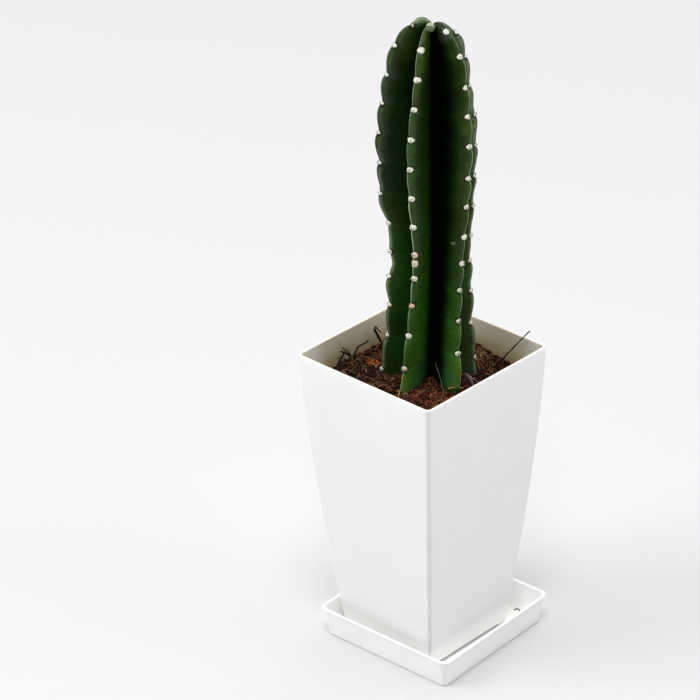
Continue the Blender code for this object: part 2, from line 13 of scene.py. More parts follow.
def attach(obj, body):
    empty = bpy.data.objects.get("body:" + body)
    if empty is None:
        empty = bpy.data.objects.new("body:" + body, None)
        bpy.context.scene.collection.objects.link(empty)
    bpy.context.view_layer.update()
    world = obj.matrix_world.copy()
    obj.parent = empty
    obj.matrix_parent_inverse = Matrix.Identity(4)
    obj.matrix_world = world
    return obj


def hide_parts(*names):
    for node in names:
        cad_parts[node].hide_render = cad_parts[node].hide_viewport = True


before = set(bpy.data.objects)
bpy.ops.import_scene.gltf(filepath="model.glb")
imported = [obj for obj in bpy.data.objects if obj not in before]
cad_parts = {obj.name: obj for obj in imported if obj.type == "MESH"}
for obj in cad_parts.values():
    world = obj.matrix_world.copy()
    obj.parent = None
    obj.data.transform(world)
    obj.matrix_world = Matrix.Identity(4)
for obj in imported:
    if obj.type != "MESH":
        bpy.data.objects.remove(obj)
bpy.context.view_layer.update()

MM = 0.001

# Saucer, as in the part's source
SAUCER_TOP_HALF = 57.6 * MM
SAUCER_BOTTOM_HALF = 53.4 * MM
SAUCER_HEIGHT = 22.4 * MM
SAUCER_WALL = 1.6 * MM
SAUCER_FLOOR = 1.8 * MM
SAUCER_CORNER = 6 * MM
SAUCER_CORNER_TAPER = 0.6
SAUCER_FILLET = 2 * MM
SAUCER_LIP = 0.5 * MM
SAUCER_LIP_HEIGHT = 1.5 * MM
SAUCER_SHIFT = np.array((4.2, 3.9)) * MM
SAUCER_TURN = math.radians(2.55)
SHARP_CORNER = 2 * MM
SAUCER_EDGE = 0.8 * MM
SAUCER_EDGE_STEP = (0.25 * MM, 0.15 * MM)
SAUCER_WALL_ROWS = (2 * MM, 0.4 * MM, 8)
SAUCER_RIM_ROUND = 0.6 * MM
SAUCER_RIM_DROP = 1.4 * MM

# Pot, as in the part's source
POT_RIM_HALF = 60 * MM
POT_BOTTOM_HALF = 41 * MM
POT_TOP = 223 * MM
POT_WALL = 1.9 * MM
POT_FLOOR = 2.2 * MM
POT_CORNER = 4 * MM
POT_INNER_CORNER = 2.8 * MM
POT_BULGE = 1.37
POT_FOOT_Z = 2.1 * MM
POT_BASE_Z = 4.6 * MM
POT_FLOOR_Z = POT_BASE_Z + POT_FLOOR
POT_BASE_EDGE = 1.5 * MM
FOOT_SIZE = 9 * MM
FOOT_RADIUS = 2.5 * MM
FOOT_TAPER = 0.92
DRAIN_RADIUS = 4 * MM
DRAIN_CIRCLE = 22 * MM
DRAIN_SIDES = 32
POT_ROWS = 44
CORNER_STEPS = 10
SIDE_POINTS = 9
EDGE_STEPS = 6
RIM_ROUND = 0.9 * MM

# Colours of the soil and the plastic, as 0 to 255 screen values like all colours here
SOIL_COLOUR = (66, 48, 36)
POT_WHITE = (243, 243, 242)
# The inside is painted a brighter, warmer white than the outside, as painted bounce light
INNER_LIT_WHITE = (252, 249, 238)
SAUCER_WHITE = (254, 254, 253)
PLASTIC_ROUGHNESS = 0.42
SHARP_ANGLE = 40
# The outer corners are painted a little darker, as painted shade: from this share of the side on, and by how much
CORNER_START = 0.945
CORNER_SHADE = 0.13
# Stains and painted warm bounce light inside the pot: colour, heights where the stains fade, shares all over and lower
# down, and the corners, left lighter as painted bounce light
WALL_DIRT_AND_BOUNCE = (188, 160, 106)
STAIN_FADE = (203 * MM, 217 * MM)
STAIN_AND_BOUNCE_SHARES = (0.34, 0.5)
LIT_INNER_CORNERS = (32 * MM, 50 * MM)
LIT_CORNER_SHARE = 0.95

# Stem, as in the part's source
VIEW_TURN = math.radians(42.75)
ACROSS = np.array((math.cos(VIEW_TURN), math.sin(VIEW_TURN)))
AWAY = np.array((-math.sin(VIEW_TURN), math.cos(VIEW_TURN)))
AXIS_RIGHT = 4.5 * MM
AXIS_AWAY = 5.6 * MM
AXIS_LEAN = 0.9 * MM
AXIS_BOW = 5.6 * MM
GROUND = 201 * MM
SOIL_TOP = 196 * MM
CROWN_START = 426 * MM
CROWN_TOP = 456.8 * MM
APEX = 455 * MM
CROWN_SHIFT = 4.5 * MM
CROWN_TILT = 0.3
RIB_COUNT = 5
RIB_ANGLES = [186.5, 127, 53, -3.5, -88]
TWIST = [(201, 0), (250, -6.8), (299, -15), (343, -14.5), (387, -16), (430, -23.5), (457, -28)]
CREST_LINE = [(160, 15), (176, 25), (190, 31.8), (201, 32.4), (235, 27.8), (285, 26), (330, 29.6), (375, 32.5),
              (402, 30), (426, 26.6), (443.5, 21.6), (453, 14.6), (456.4, 7.5), (456.8, 3), (455, 0)]
FURROW_SHARE = 0.3
BURIED_FURROW = 0.95
CREST_ROUND = 0.14
FLANK_POWER = 2
AREOLE_SPACING = [(200, 28), (230, 24), (262, 22), (284, 18.5), (306, 22), (370, 21.5), (427, 19.5), (445, 18),
                  (457, 6)]
AREOLE_PACE = [1, 0.966, 0.972, 0.99, 1]
FIRST_AREOLES = [204.2, 219, 201.6, 212.5, 217]
PAUSED_RIB = 1
PAUSE_HEIGHT = 298
CROWN_CLEAR = 10 * MM
NOTCH_DEPTH = [(201, 2.6), (280, 2.4), (300, 1), (320, 1.6), (345, 2.7), (426, 2.6), (453, 1.2), (457, 0.3)]
NOTCH_SKEW = 0.63

# Skin mesh
SKIN_STEP = 0.76 * MM
BURIED_ROWS = 8
SKIN_END = 0.5 * MM
CAP_SHARE = 0.2
TIP_SHARES = [0.3, 0.55, 0.22, 0.28, 0.34]
# The power across a cap, what each rib's young skin adds, and the power of the drop to the edges
CAP_BLUNTNESS = 2.1
CAP_SQUARENESS = [1.6, 1.5, 0.9, 1.6, 2]
CAP_DROP = 0.8
YOUNG_DROP = 0.18
YOUNG_SKIN = (300 * MM, 420 * MM)
TIP_RISE = (424 * MM, 454 * MM)
# How far ribs stand off their common line: rib, then heights and distances in millimetres
RIB_TRIMS = {0: [(250, 0), (262, 0.5), (276, 1.2), (281, 0), (287, -2.8), (293, -1.8), (298, 0.3), (306, -1),
                 (316, -1.5), (322, 0), (333, 1.4), (342, 1.8), (349, 0.5), (380, 0)],
             3: [(240, 0), (262, 1.4), (268, 0.6), (280, 1.5), (290, 0.6), (302, 1.4), (312, 0.8), (323, 0.9),
                 (331, -0.8), (337, -1), (342, 0), (350, -0.9), (357, -1.4), (367, -0.7), (375, -1.9),
                 (381, -1.7), (389, -0.4), (395, -1.7), (403, -1.1), (420, 0), (430, 1), (442, 1.4), (454, 0)]}
CAP_STEPS = [0, 0.25, 0.45, 0.6, 0.7, 0.78, 0.86, 0.93, 0.98]
FLANK_STEPS = [0.2, 0.25, 0.31, 0.38, 0.46, 0.55, 0.64, 0.74, 0.84, 0.93, 1]
# Where the skin grows duller from the crests to the furrows: section, specular level and roughness
SKIN_GLOSS = [(0, 0.15, 0.4), (0.08, 0.1, 0.42), (0.15, 0.05, 0.45), (0.22, 0.02, 0.55), (0.3, 0, 0.9)]
# Fine grain, its size and its darkest and lightest share, and bumps: size, depth and stretch
SKIN_GRAIN = (0.9 * MM, 0.8, 1.2)
SKIN_BUMPS = [(5 * MM, 0.5 * MM, (1, 1, 1)), (1.6 * MM, 0.12 * MM, (0.4, 0.4, 2.2)),
              (0.5 * MM, 0.04 * MM, (1, 1, 1))]
# Marks on the skin: place and radius in millimetres, colour and strength
SKIN_PATCHES = [(6.6, -7.2, 214.8, 5, (34, 44, 52), 0.5), (25.6, 0, 212.4, 4.5, (44, 92, 66), 0.6),
                (29.6, 1, 217, 4, (60, 96, 26), 0.5), (22.6, 6.9, 307.9, 0.9, (150, 170, 140), 0.8),
                (32.4, 9.4, 391.1, 3, (70, 88, 36), 0.6), (6.5, -20.4, 230.4, 5, (50, 82, 26), 0.5),
                (-4.8, -7.7, 440.5, 6, (38, 52, 16), 0.5), (-3, -3.9, 448, 5, (40, 58, 20), 0.5),
                (-12.3, -16.9, 425.5, 6, (60, 72, 62), 0.5), (-14.7, -16.6, 410.8, 5, (50, 62, 52), 0.4),
                (14.6, 10.8, 450.8, 3.5, (70, 78, 62), 0.5), (7.2, -20.1, 256.2, 5, (46, 76, 22), 0.5)]

# Wool and spines
AREOLE_RADIUS = 2.25 * MM
AREOLE_HEIGHT = 2 * MM
# The areoles of some ribs are smaller and sit deeper
AREOLE_SIZES = [0.78, 1, 0.95, 0.75, 0.9]
# Wool on young and on old areoles
YOUNG_WOOL = (240, 246, 224)
OLD_WOOL = (236, 222, 200)
# Areoles that look different: rib, from and to a height, share of the size, share of light in the middle, colour
AREOLE_LOOKS = [(1, 200, 292, 0.84, 0.9, None), (1, 260, 270, 1, 0.9, (226, 206, 178)),
                (1, 294, 301, 1, 0.9, (232, 222, 192)), (1, 301, 312, 1, 0.9, (228, 210, 184)),
                (2, 200, 290, 0.86, 0.45, (226, 236, 204))]
# The areole at the pause is tall and narrow, the lowest ones are buried and the next ones dirty
TALL_AREOLE = (294, 301)
BURIED_BELOW = 203
DIRTY_BELOW = 226
# The youngest areole, on one rib's tip: its distance from the apex, its size, its shift sideways, and the
# colours of its lower and upper cushion and of its hairs
YOUNG_RIB = 1
YOUNG_AREOLE = 9 * MM
YOUNG_SIZE = 3.1 * MM
YOUNG_SHIFT = 1.6 * MM
YOUNG_COLOURS = (88, 106, 68), (176, 188, 158), (226, 234, 216)
# One more areole near the first rib's apex, the lift of the third rib's upper ones, and the heights over which
# those of the first and the last rib are small and dim
TOP_AREOLE = 12 * MM
AREOLE_LIFTS = (1.2, 0.8, 2.1, 1.4, 0.4, 2.1, 2.9)
FIRST_RIB_TOP = 450
BACK_RIB = 4
BACK_RIB_TOP = 445
CUSHION_SIDES = 16
CUSHION_RINGS = 8
HAIR_COUNT = 46
HAIR_RADII = np.array((0.12, 0.1, 0.07, 0.02)) * MM
SPINE_COLOUR = (46, 42, 34)
SIDE_SPINE_COLOUR = (104, 98, 84)
SIDE_SPINES = 5

# Mulch, and its heaps and hollows: place, rise and spread in millimetres
MULCH_LEVEL = 201 * MM
HEAPS = [(-39, -20, 5, 9), (13, 44, 4.5, 6), (4, 49, 5, 6), (42, 44, -3, 13),
         (-54, -44, -2.8, 10)]
SEED = 7
MULCH_STEPS = 150
# Its rise towards the stem: height, then where it starts off the stem's middle and how wide it is in millimetres
STEM_HEAP = (5 * MM, 26, 14)
BED_DROP = 0.6 * MM
# Layers of its fine relief: size, offset of the noise and height
RELIEF = [(9, 3, 1.5), (4, 8, 1.3), (1.9, 12, 0.9)]


def srgb(*colour):
    """A linear colour from 0 to 255 screen values."""
    share = np.array(colour, float) / 255
    return np.where(share <= 0.04045, share / 12.92, ((share + 0.055) / 1.055) ** 2.4)


def smoothstep(low, high, value):
    share = np.clip((value - low) / (high - low), 0, 1)
    return share * share * (3 - 2 * share)


def mix(a, b, share):
    return a + (b - a) * np.asarray(share)[..., None]


def smooth_curve(knots, steps=8):
    """Points along a smooth line through the knots, the same number between each two."""
    knots = np.array(knots, float)
    before = np.vstack([knots[:1], knots[:-2]])[:, None]
    here = knots[:-1, None]
    ahead = knots[1:, None]
    after = np.vstack([knots[2:], knots[-1:]])[:, None]
    t = (np.arange(steps) / steps)[None, :, None]
    line = 0.5 * (2 * here + (ahead - before) * t + (2 * before - 5 * here + 4 * ahead - after) * t**2
                  + (3 * here - before - 3 * ahead + after) * t**3)
    return np.vstack([line.reshape(-1, knots.shape[1]), knots[-1:]])


def table_value(knots, at):
    line = smooth_curve(knots)
    return np.interp(at, line[:, 0], line[:, 1])


def noise_at(points, size, offset=0):
    """Smooth noise from -1 to 1 at each point, with features of about the given size."""
    return np.array([noise.noise(Vector(p) / size + Vector((offset, -offset, offset / 2))) for p in points])


# Materials


def new_material(name, roughness, specular):
    made = bpy.data.materials.new(name)
    made.use_nodes = True
    shader = made.node_tree.nodes["Principled BSDF"]
    shader.inputs["Roughness"].default_value = roughness
    shader.inputs["Specular IOR Level"].default_value = specular
    return made


def node(tree, kind, inputs=None, output=0, **settings):
    """An output of a new node, whose inputs are values or outputs of other nodes."""
    made = tree.nodes.new(kind)
    for key, value in settings.items():
        setattr(made, key, value)
    for key, value in (inputs or {}).items():
        if isinstance(value, bpy.types.NodeSocket):
            tree.links.new(value, made.inputs[key])
        else:
            made.inputs[key].default_value = value
    return made.outputs[output]


def noise_node(tree, size, detail=3.0, stretch=(1.0, 1.0, 1.0)):
    """Noise in the object's own coordinates, with features of about the given size."""
    place = node(tree, "ShaderNodeTexCoord", output="Object")
    scaled = node(tree, "ShaderNodeMapping", {"Vector": place, "Scale": stretch})
    return node(tree, "ShaderNodeTexNoise", {"Vector": scaled, "Scale": 1 / size, "Detail": detail})


def tinted(tree, colour, grain, low, high):
    """The colour made darker and lighter by grain, from the low share to the high one."""
    ends = {"Value": grain, "From Min": 0.3, "From Max": 0.7, "To Min": low, "To Max": high}
    share = node(tree, "ShaderNodeMapRange", ends)
    grey = node(tree, "ShaderNodeCombineColor", {"Red": share, "Green": share, "Blue": share})
    return node(tree, "ShaderNodeMix", {0: 1, 6: colour, 7: grey}, 2, data_type="RGBA", blend_type="MULTIPLY")


def painted(name, roughness, specular, grain, low, high, bumps=()):
    """A material that takes its colour from the mesh's own paint, with fine grain and bumps."""
    made = new_material(name, roughness, specular)
    tree = made.node_tree
    shader = tree.nodes["Principled BSDF"]
    paint = node(tree, "ShaderNodeVertexColor", layer_name="paint")
    tree.links.new(tinted(tree, paint, noise_node(tree, grain), low, high), shader.inputs["Base Color"])
    normal = None
    for size, depth, stretch in bumps:
        inputs = {"Height": noise_node(tree, size, 4, stretch), "Strength": 1, "Distance": depth}
        if normal:
            inputs["Normal"] = normal
        normal = node(tree, "ShaderNodeBump", inputs)
    if normal:
        tree.links.new(normal, shader.inputs["Normal"])
    return made


# Meshes


def add_object(name, data):
    made = bpy.data.objects.new(name, data)
    bpy.context.scene.collection.objects.link(made)
    return made


def add_piece(name, points, faces, surface, node_name, paint, sharp=None):
    """A mesh that rides on the part and stands for one of its nodes."""
    mesh = bpy.data.meshes.new(name)
    mesh.from_pydata(np.asarray(points).tolist(), [], faces)
    mesh.materials.append(surface)
    mesh.shade_smooth()
    if sharp:
        mesh.set_sharp_from_angle(angle=math.radians(sharp))
    layer = mesh.color_attributes.new("paint", "FLOAT_COLOR", "POINT")
    paint = np.asarray(paint, np.float32)
    layer.data.foreach_set("color", np.hstack([paint, np.ones((len(paint), 1), np.float32)]).ravel())
    made = add_object(name, mesh)
    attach(made, "root")
    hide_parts(node_name)
    return made


def loft_faces(rows, columns, closed_ends=True):
    """Faces through rows of points, each row a closed ring."""
    faces = []
    for row in range(rows - 1):
        low = row * columns
        faces += [(low + i, low + (i + 1) % columns, low + columns + (i + 1) % columns, low + columns + i)
                  for i in range(columns)]
    if closed_ends:
        faces.append(tuple(reversed(range(columns))))
        faces.append(tuple((rows - 1) * columns + i for i in range(columns)))
    return faces


class Batch:
    """Collects many small shapes for one mesh."""

    def __init__(self):
        self.points, self.faces, self.paint = [], [], []

    def add(self, points, faces, colour):
        start = len(self.points)
        self.points.extend(points)
        self.faces += [tuple(start + i for i in face) for face in faces]
        self.paint.extend(np.broadcast_to(colour, (len(points), 3)))

    def tube(self, line, radii, sides, colour, flat=1, turn=0):
        """A strand along a line, with its own radius at each point. Flat strands are wide and thin."""
        line = np.asarray(line, float)
        along = np.gradient(line, axis=0)
        along /= norm(along, axis=1)[:, None]
        guide = np.array((math.cos(turn), math.sin(turn), 0.35))
        side = np.cross(along, guide)
        side /= norm(side, axis=1)[:, None] + 1e-12
        over = np.cross(side, along)
        turns = 2 * math.pi * np.arange(sides) / sides
        radii = np.asarray(radii, float)[:, None, None]
        rings = line[:, None] + radii * (side[:, None] * np.cos(turns)[None, :, None]
                                         + over[:, None] * (np.sin(turns) * flat)[None, :, None])
        colour = np.asarray(colour, float)
        if colour.ndim == 2:
            colour = np.repeat(colour, sides, axis=0)
        self.add(rings.reshape(-1, 3), loft_faces(len(line), sides), colour)

    def piece(self, name, surface, node_name):
        add_piece(name, self.points, self.faces, surface, node_name, self.paint)


# Stem


class Stem:
    """The stem's form: five ribs round a bowed axis, each with a crest that dips at its areoles."""

    def __init__(self):
        line = smooth_curve(CREST_LINE) * MM
        self.heights, self.radii = line[:, 0], line[:, 1]
        lengths = np.hypot(np.diff(self.heights), np.diff(self.radii))
        self.arcs = np.concatenate([[0], np.cumsum(lengths)])
        self.length = float(self.arcs[-1])
        self.twist = smooth_curve(TWIST)
        self.crown_radius = float(self.crest(self.arc_at(CROWN_START))[1])
        self.ground_arc = self.arc_at(GROUND)
        self.areoles = [np.array(self.areole_arcs(rib)) for rib in range(RIB_COUNT)]
        self.areoles[0] = np.append(self.areoles[0], self.length - TOP_AREOLE)
        self.areoles[2][-len(AREOLE_LIFTS):] += np.array(AREOLE_LIFTS) * MM

    def arc_at(self, height):
        top = int(np.argmax(self.heights))
        return float(np.interp(height, self.heights[:top], self.arcs[:top]))

    def crest(self, arc):
        """Height and radius of the plain crest, and its outward way as a share out and a share up."""
        arc = np.asarray(arc, float)
        (height, high, low), (radius, wide, narrow) = (
            [np.interp(arc + step, self.arcs, line) for step in (0, MM, -MM)] for line in (self.heights, self.radii))
        size = np.hypot(high - low, wide - narrow)
        return height, radius, np.stack([(high - low) / size, (narrow - wide) / size], -1)

    def areole_arcs(self, rib):
        places = []
        arc = self.arc_at(FIRST_AREOLES[rib] * MM)
        pause = self.arc_at(PAUSE_HEIGHT * MM)
        while arc < self.length - CROWN_CLEAR:
            step = float(table_value(AREOLE_SPACING, self.crest(arc)[0] / MM)) * AREOLE_PACE[rib] * MM
            places.append(arc)
            if rib == PAUSED_RIB and arc < pause < arc + step:
                places.append(pause)
            arc += step
        return places

    def bulge(self, rib, arc):
        """How far the crest stands out between two areoles: most a little under the upper one."""
        arc = np.asarray(arc, float)
        places = self.areoles[rib]
        after = np.searchsorted(places, arc)
        upper = np.append(places, self.length)[after]
        lower = np.insert(places, 0, 0)[after]
        down = np.clip((upper - arc) / (upper - lower), 0, 1)
        height = self.crest(arc)[0] / MM
        depth = table_value(NOTCH_DEPTH, height) * MM
        trim = table_value(RIB_TRIMS[rib], height) * MM if rib in RIB_TRIMS else 0
        return np.where(after > 0, depth * np.sin(np.pi * down**NOTCH_SKEW), 0) + trim

    def direction(self, rib, height):
        twist = np.interp(np.asarray(height) / MM, self.twist[:, 0], self.twist[:, 1])
        around = 2 * math.pi * (rib // RIB_COUNT)
        return VIEW_TURN - np.radians(RIB_ANGLES[rib % RIB_COUNT] + twist) + around

    def place(self, arc, angle, radius, height):
        """Points of the rings at the arcs, with the axis's lean and bow and the bent crown."""
        level, crest_radius, _ = self.crest(arc)
        bend = np.where(level > CROWN_START, 1 - crest_radius / self.crown_radius, 0)
        t = np.clip((height - GROUND) / (CROWN_TOP - GROUND), 0, 1)
        right = AXIS_RIGHT + AXIS_LEAN * t + AXIS_BOW * t * (1 - t) + CROWN_SHIFT * bend**2
        x, y = radius * np.cos(angle), radius * np.sin(angle)
        rise = height - CROWN_TILT * bend * (x * ACROSS[0] + y * ACROSS[1])
        return np.stack([ACROSS[0] * right + AWAY[0] * AXIS_AWAY + x, ACROSS[1] * right + AWAY[1] * AXIS_AWAY + y,
                         rise], -1)

    def furrow(self, arc):
        height, radius, _ = self.crest(arc)
        buried = np.clip((SOIL_TOP - height) / (SOIL_TOP - self.heights[0]), 0, 1)
        share = FURROW_SHARE + (BURIED_FURROW - FURROW_SHARE) * buried
        crown = CROWN_START + (height - CROWN_START) * (APEX - CROWN_START) / (CROWN_TOP - CROWN_START)
        return np.where(height > CROWN_START, crown, height), radius * share

    def crest_point(self, rib, arc):
        height, radius, out = self.crest(arc)
        stand = self.bulge(rib, arc)
        return self.place(arc, self.direction(rib, height), radius + out[..., 0] * stand, height + out[..., 1] * stand)

    def frame_at(self, rib, arc):
        """A crest point with its outward, upward and sideways ways."""
        place = self.crest_point(rib, arc)
        up = self.crest_point(rib, arc + AREOLE_RADIUS) - self.crest_point(rib, arc - AREOLE_RADIUS)
        up /= norm(up)
        height, _, way = self.crest(arc)
        angle = float(self.direction(rib, height))
        out = np.array((math.cos(angle) * way[0], math.sin(angle) * way[0], way[1]))
        out -= up * out.dot(up)
        out /= norm(out)
        return place, out, up, np.cross(up, out)

    def rib_columns(self, rib, arcs, way):
        """One side of a rib from its crest to the furrow: a flat-topped cap, then the thin flank."""
        level, radius, out = self.crest(arcs)
        floor_height, floor_radius = self.furrow(arcs)
        here = self.direction(rib, level)
        spread = (self.direction(rib + way, level) - here) / 2
        stand = self.bulge(rib, arcs)
        top_radius = radius + out[:, 0] * stand
        top_height = level + out[:, 1] * stand
        young = smoothstep(*YOUNG_SKIN, level)
        squareness = CAP_BLUNTNESS + CAP_SQUARENESS[rib % RIB_COUNT] * young
        roundness = CAP_DROP - YOUNG_DROP * young
        blunt = CAP_SHARE + (TIP_SHARES[rib % RIB_COUNT] - CAP_SHARE) * smoothstep(*TIP_RISE, level)
        depth = crest_profile(blunt)
        foot_radius = floor_radius + (top_radius - floor_radius) * depth
        foot_angle = spread * blunt
        width = foot_radius * np.sin(np.abs(foot_angle))
        reach = foot_radius * np.cos(foot_angle)
        columns = []
        for share in CAP_STEPS:
            drop = (1 - share**squareness) ** roundness
            forward = reach + (top_radius - reach) * drop
            rise = floor_height + (top_height - floor_height) * (depth + (1 - depth) * drop)
            angle = here + np.sign(spread) * np.arctan2(width * share, forward)
            columns.append(self.place(arcs, angle, np.hypot(forward, width * share), rise))
        for step in FLANK_STEPS:
            share = blunt + (1 - blunt) * (step - CAP_SHARE) / (1 - CAP_SHARE)
            depth_here = crest_profile(share)
            columns.append(self.place(arcs, here + spread * share,
                                      floor_radius + (top_radius - floor_radius) * depth_here,
                                      floor_height + (top_height - floor_height) * depth_here))
        return columns

    def rings(self, arcs):
        """A closed ring of points round the stem at each arc."""
        columns = []
        for rib in range(RIB_COUNT):
            columns += self.rib_columns(rib, arcs, -1)[-2:0:-1] + self.rib_columns(rib, arcs, 1)
        return np.stack(columns, 1)


def crest_profile(x):
    start = CREST_ROUND
    return (1 - (np.hypot(x, start) - start) / (math.hypot(1, start) - start)) ** FLANK_POWER


# Screen colours along the stem: height, crest band, upper flank, deep flank; the darkening from crest to deep flank is
# partly the skin's own and partly painted shade
SKIN_COLOURS = [
    (200, (72, 102, 36), (44, 82, 38), (16, 26, 24)),
    (216, (66, 98, 30), (48, 88, 30), (16, 30, 28)),
    (240, (54, 88, 26), (36, 76, 16), (8, 24, 8)),
    (285, (48, 78, 28), (28, 64, 12), (6, 20, 4)),
    (320, (50, 76, 30), (28, 56, 13), (6, 19, 4)),
    (355, (56, 84, 35), (24, 50, 12), (6, 19, 4)),
    (395, (52, 81, 30), (18, 44, 9), (6, 19, 4)),
    (430, (54, 82, 26), (16, 40, 8), (6, 20, 4)),
    (450, (50, 76, 22), (20, 44, 9), (8, 22, 5)),
    (458, (46, 70, 24), (28, 50, 14), (10, 24, 6)),
]
# The furrows' near black is partly dark skin and partly painted shade
FURROW_SKIN_AND_SHADE = (2, 6, 2)
LINE_AND_HIGHLIGHT_COLOUR = (202, 222, 180)
RING_AND_SHADOW_COLOUR = (30, 22, 12)
# Each rib's pale edge lines, partly the crest's own pale line and partly a painted highlight of grazing light, so that
# some ribs have them on one side only: strength behind and ahead, low down and high up
EDGE_LINES_AND_HIGHLIGHTS = [((0.3, 0.3), (0.2, 0.06)), ((1, 0.8), (0, 0)), ((0, 0), (1, 1)),
              ((0.2, 0.2), (0.2, 0.2)), ((0.4, 0.3), (0.4, 0.3))]
LINE_WIDTH = 0.17
# Where these lines run, as a share of the cap's half width, low down and high up
LINE_PLACES = [(0.5, 0.8), (0.5, 0.84), (0.2, 0.42), (0.5, 0.8), (0.5, 0.84)]
# A waxy bloom along each rib's crest, partly a painted sheen of grazing light
BLOOM_AND_SHEEN_COLOUR = (92, 106, 96)
BLOOM_AND_SHEEN_SHARES = [0.12, 0.04, 0, 0.15, 0.15]
# Skin painted darker than the rest, older duller skin low down and painted shade higher up: rib, colour and strength,
# from and to a height
DULL_AND_SHADED_SKIN = [(0, (15, 36, 13), 0.85, 150, 262), (3, (36, 46, 26), 0.85, 150, 262),
             (0, (20, 34, 18), 0.65, 335, 395), (4, (30, 50, 16), 0.6, 445, 480)]
# Painted shade on each rib's flanks, behind and ahead: sections where the painted shade starts and where it is full,
# and how black the furrow is painted, low down and high up
PLAIN_SHADE = (0.3, 0.7, 0.6)
LOW_FLANK_SHADES = [(PLAIN_SHADE, (0.3, 0.8, 0.3)), ((0.3, 0.6, 0.8), (0.3, 0.8, 1)), ((0.2, 0.42, 1), (0.2, 0.5, 0.8)),
              ((0.2, 0.5, 0.8), PLAIN_SHADE), (PLAIN_SHADE, PLAIN_SHADE)]
HIGH_FLANK_SHADES = [(PLAIN_SHADE, (0.3, 0.85, 0.3)), ((0.3, 0.6, 0.8), (0.3, 0.8, 1)), ((0.16, 0.42, 1), (0.2, 0.5, 0.8)),
               ((0.2, 0.5, 0.8), PLAIN_SHADE), (PLAIN_SHADE, PLAIN_SHADE)]
# Heights between which the low values change into the high ones, for the flanks and for the edge lines
FLANK_CHANGE, LINE_CHANGE = (270, 360), (330, 385)
# How bright the skin is by height
SKIN_LEVELS = [(200, 1.25), (230, 1.15), (260, 0.95), (290, 0.86), (330, 0.82), (370, 0.84), (410, 0.76),
               (457, 0.74)]
# Sizes of the broad and the fine patches in its colour, and the olive of the broad ones
BROAD, FINE = 12 * MM, 3.4 * MM
OLIVE = (46, 58, 12)
# Distances from an areole between which its dark ring fades, and the ring's strength; the ring is partly the skin's
# own and partly a painted shadow of the cushion
RING_FADE = (2.2 * MM, 3.8 * MM)
RING_SHARE = 0.85
# A soft pale sheen along the caps high up: rib, place on the cap, strength and the height where it starts
SHEEN_WIDTH = 0.35
SHEENS = [(0, 0, 0.55, 398), (1, -0.5, 0.1, 310), (4, 0, 0.1, 310), (3, 0, 0.1, 310)]
SHEEN_COLOUR = (86, 102, 92)


def between(ends, share):
    """A value for each row, from the first of its two ends to the second."""
    return ends[:, 0] + (ends[:, 1] - ends[:, 0]) * share


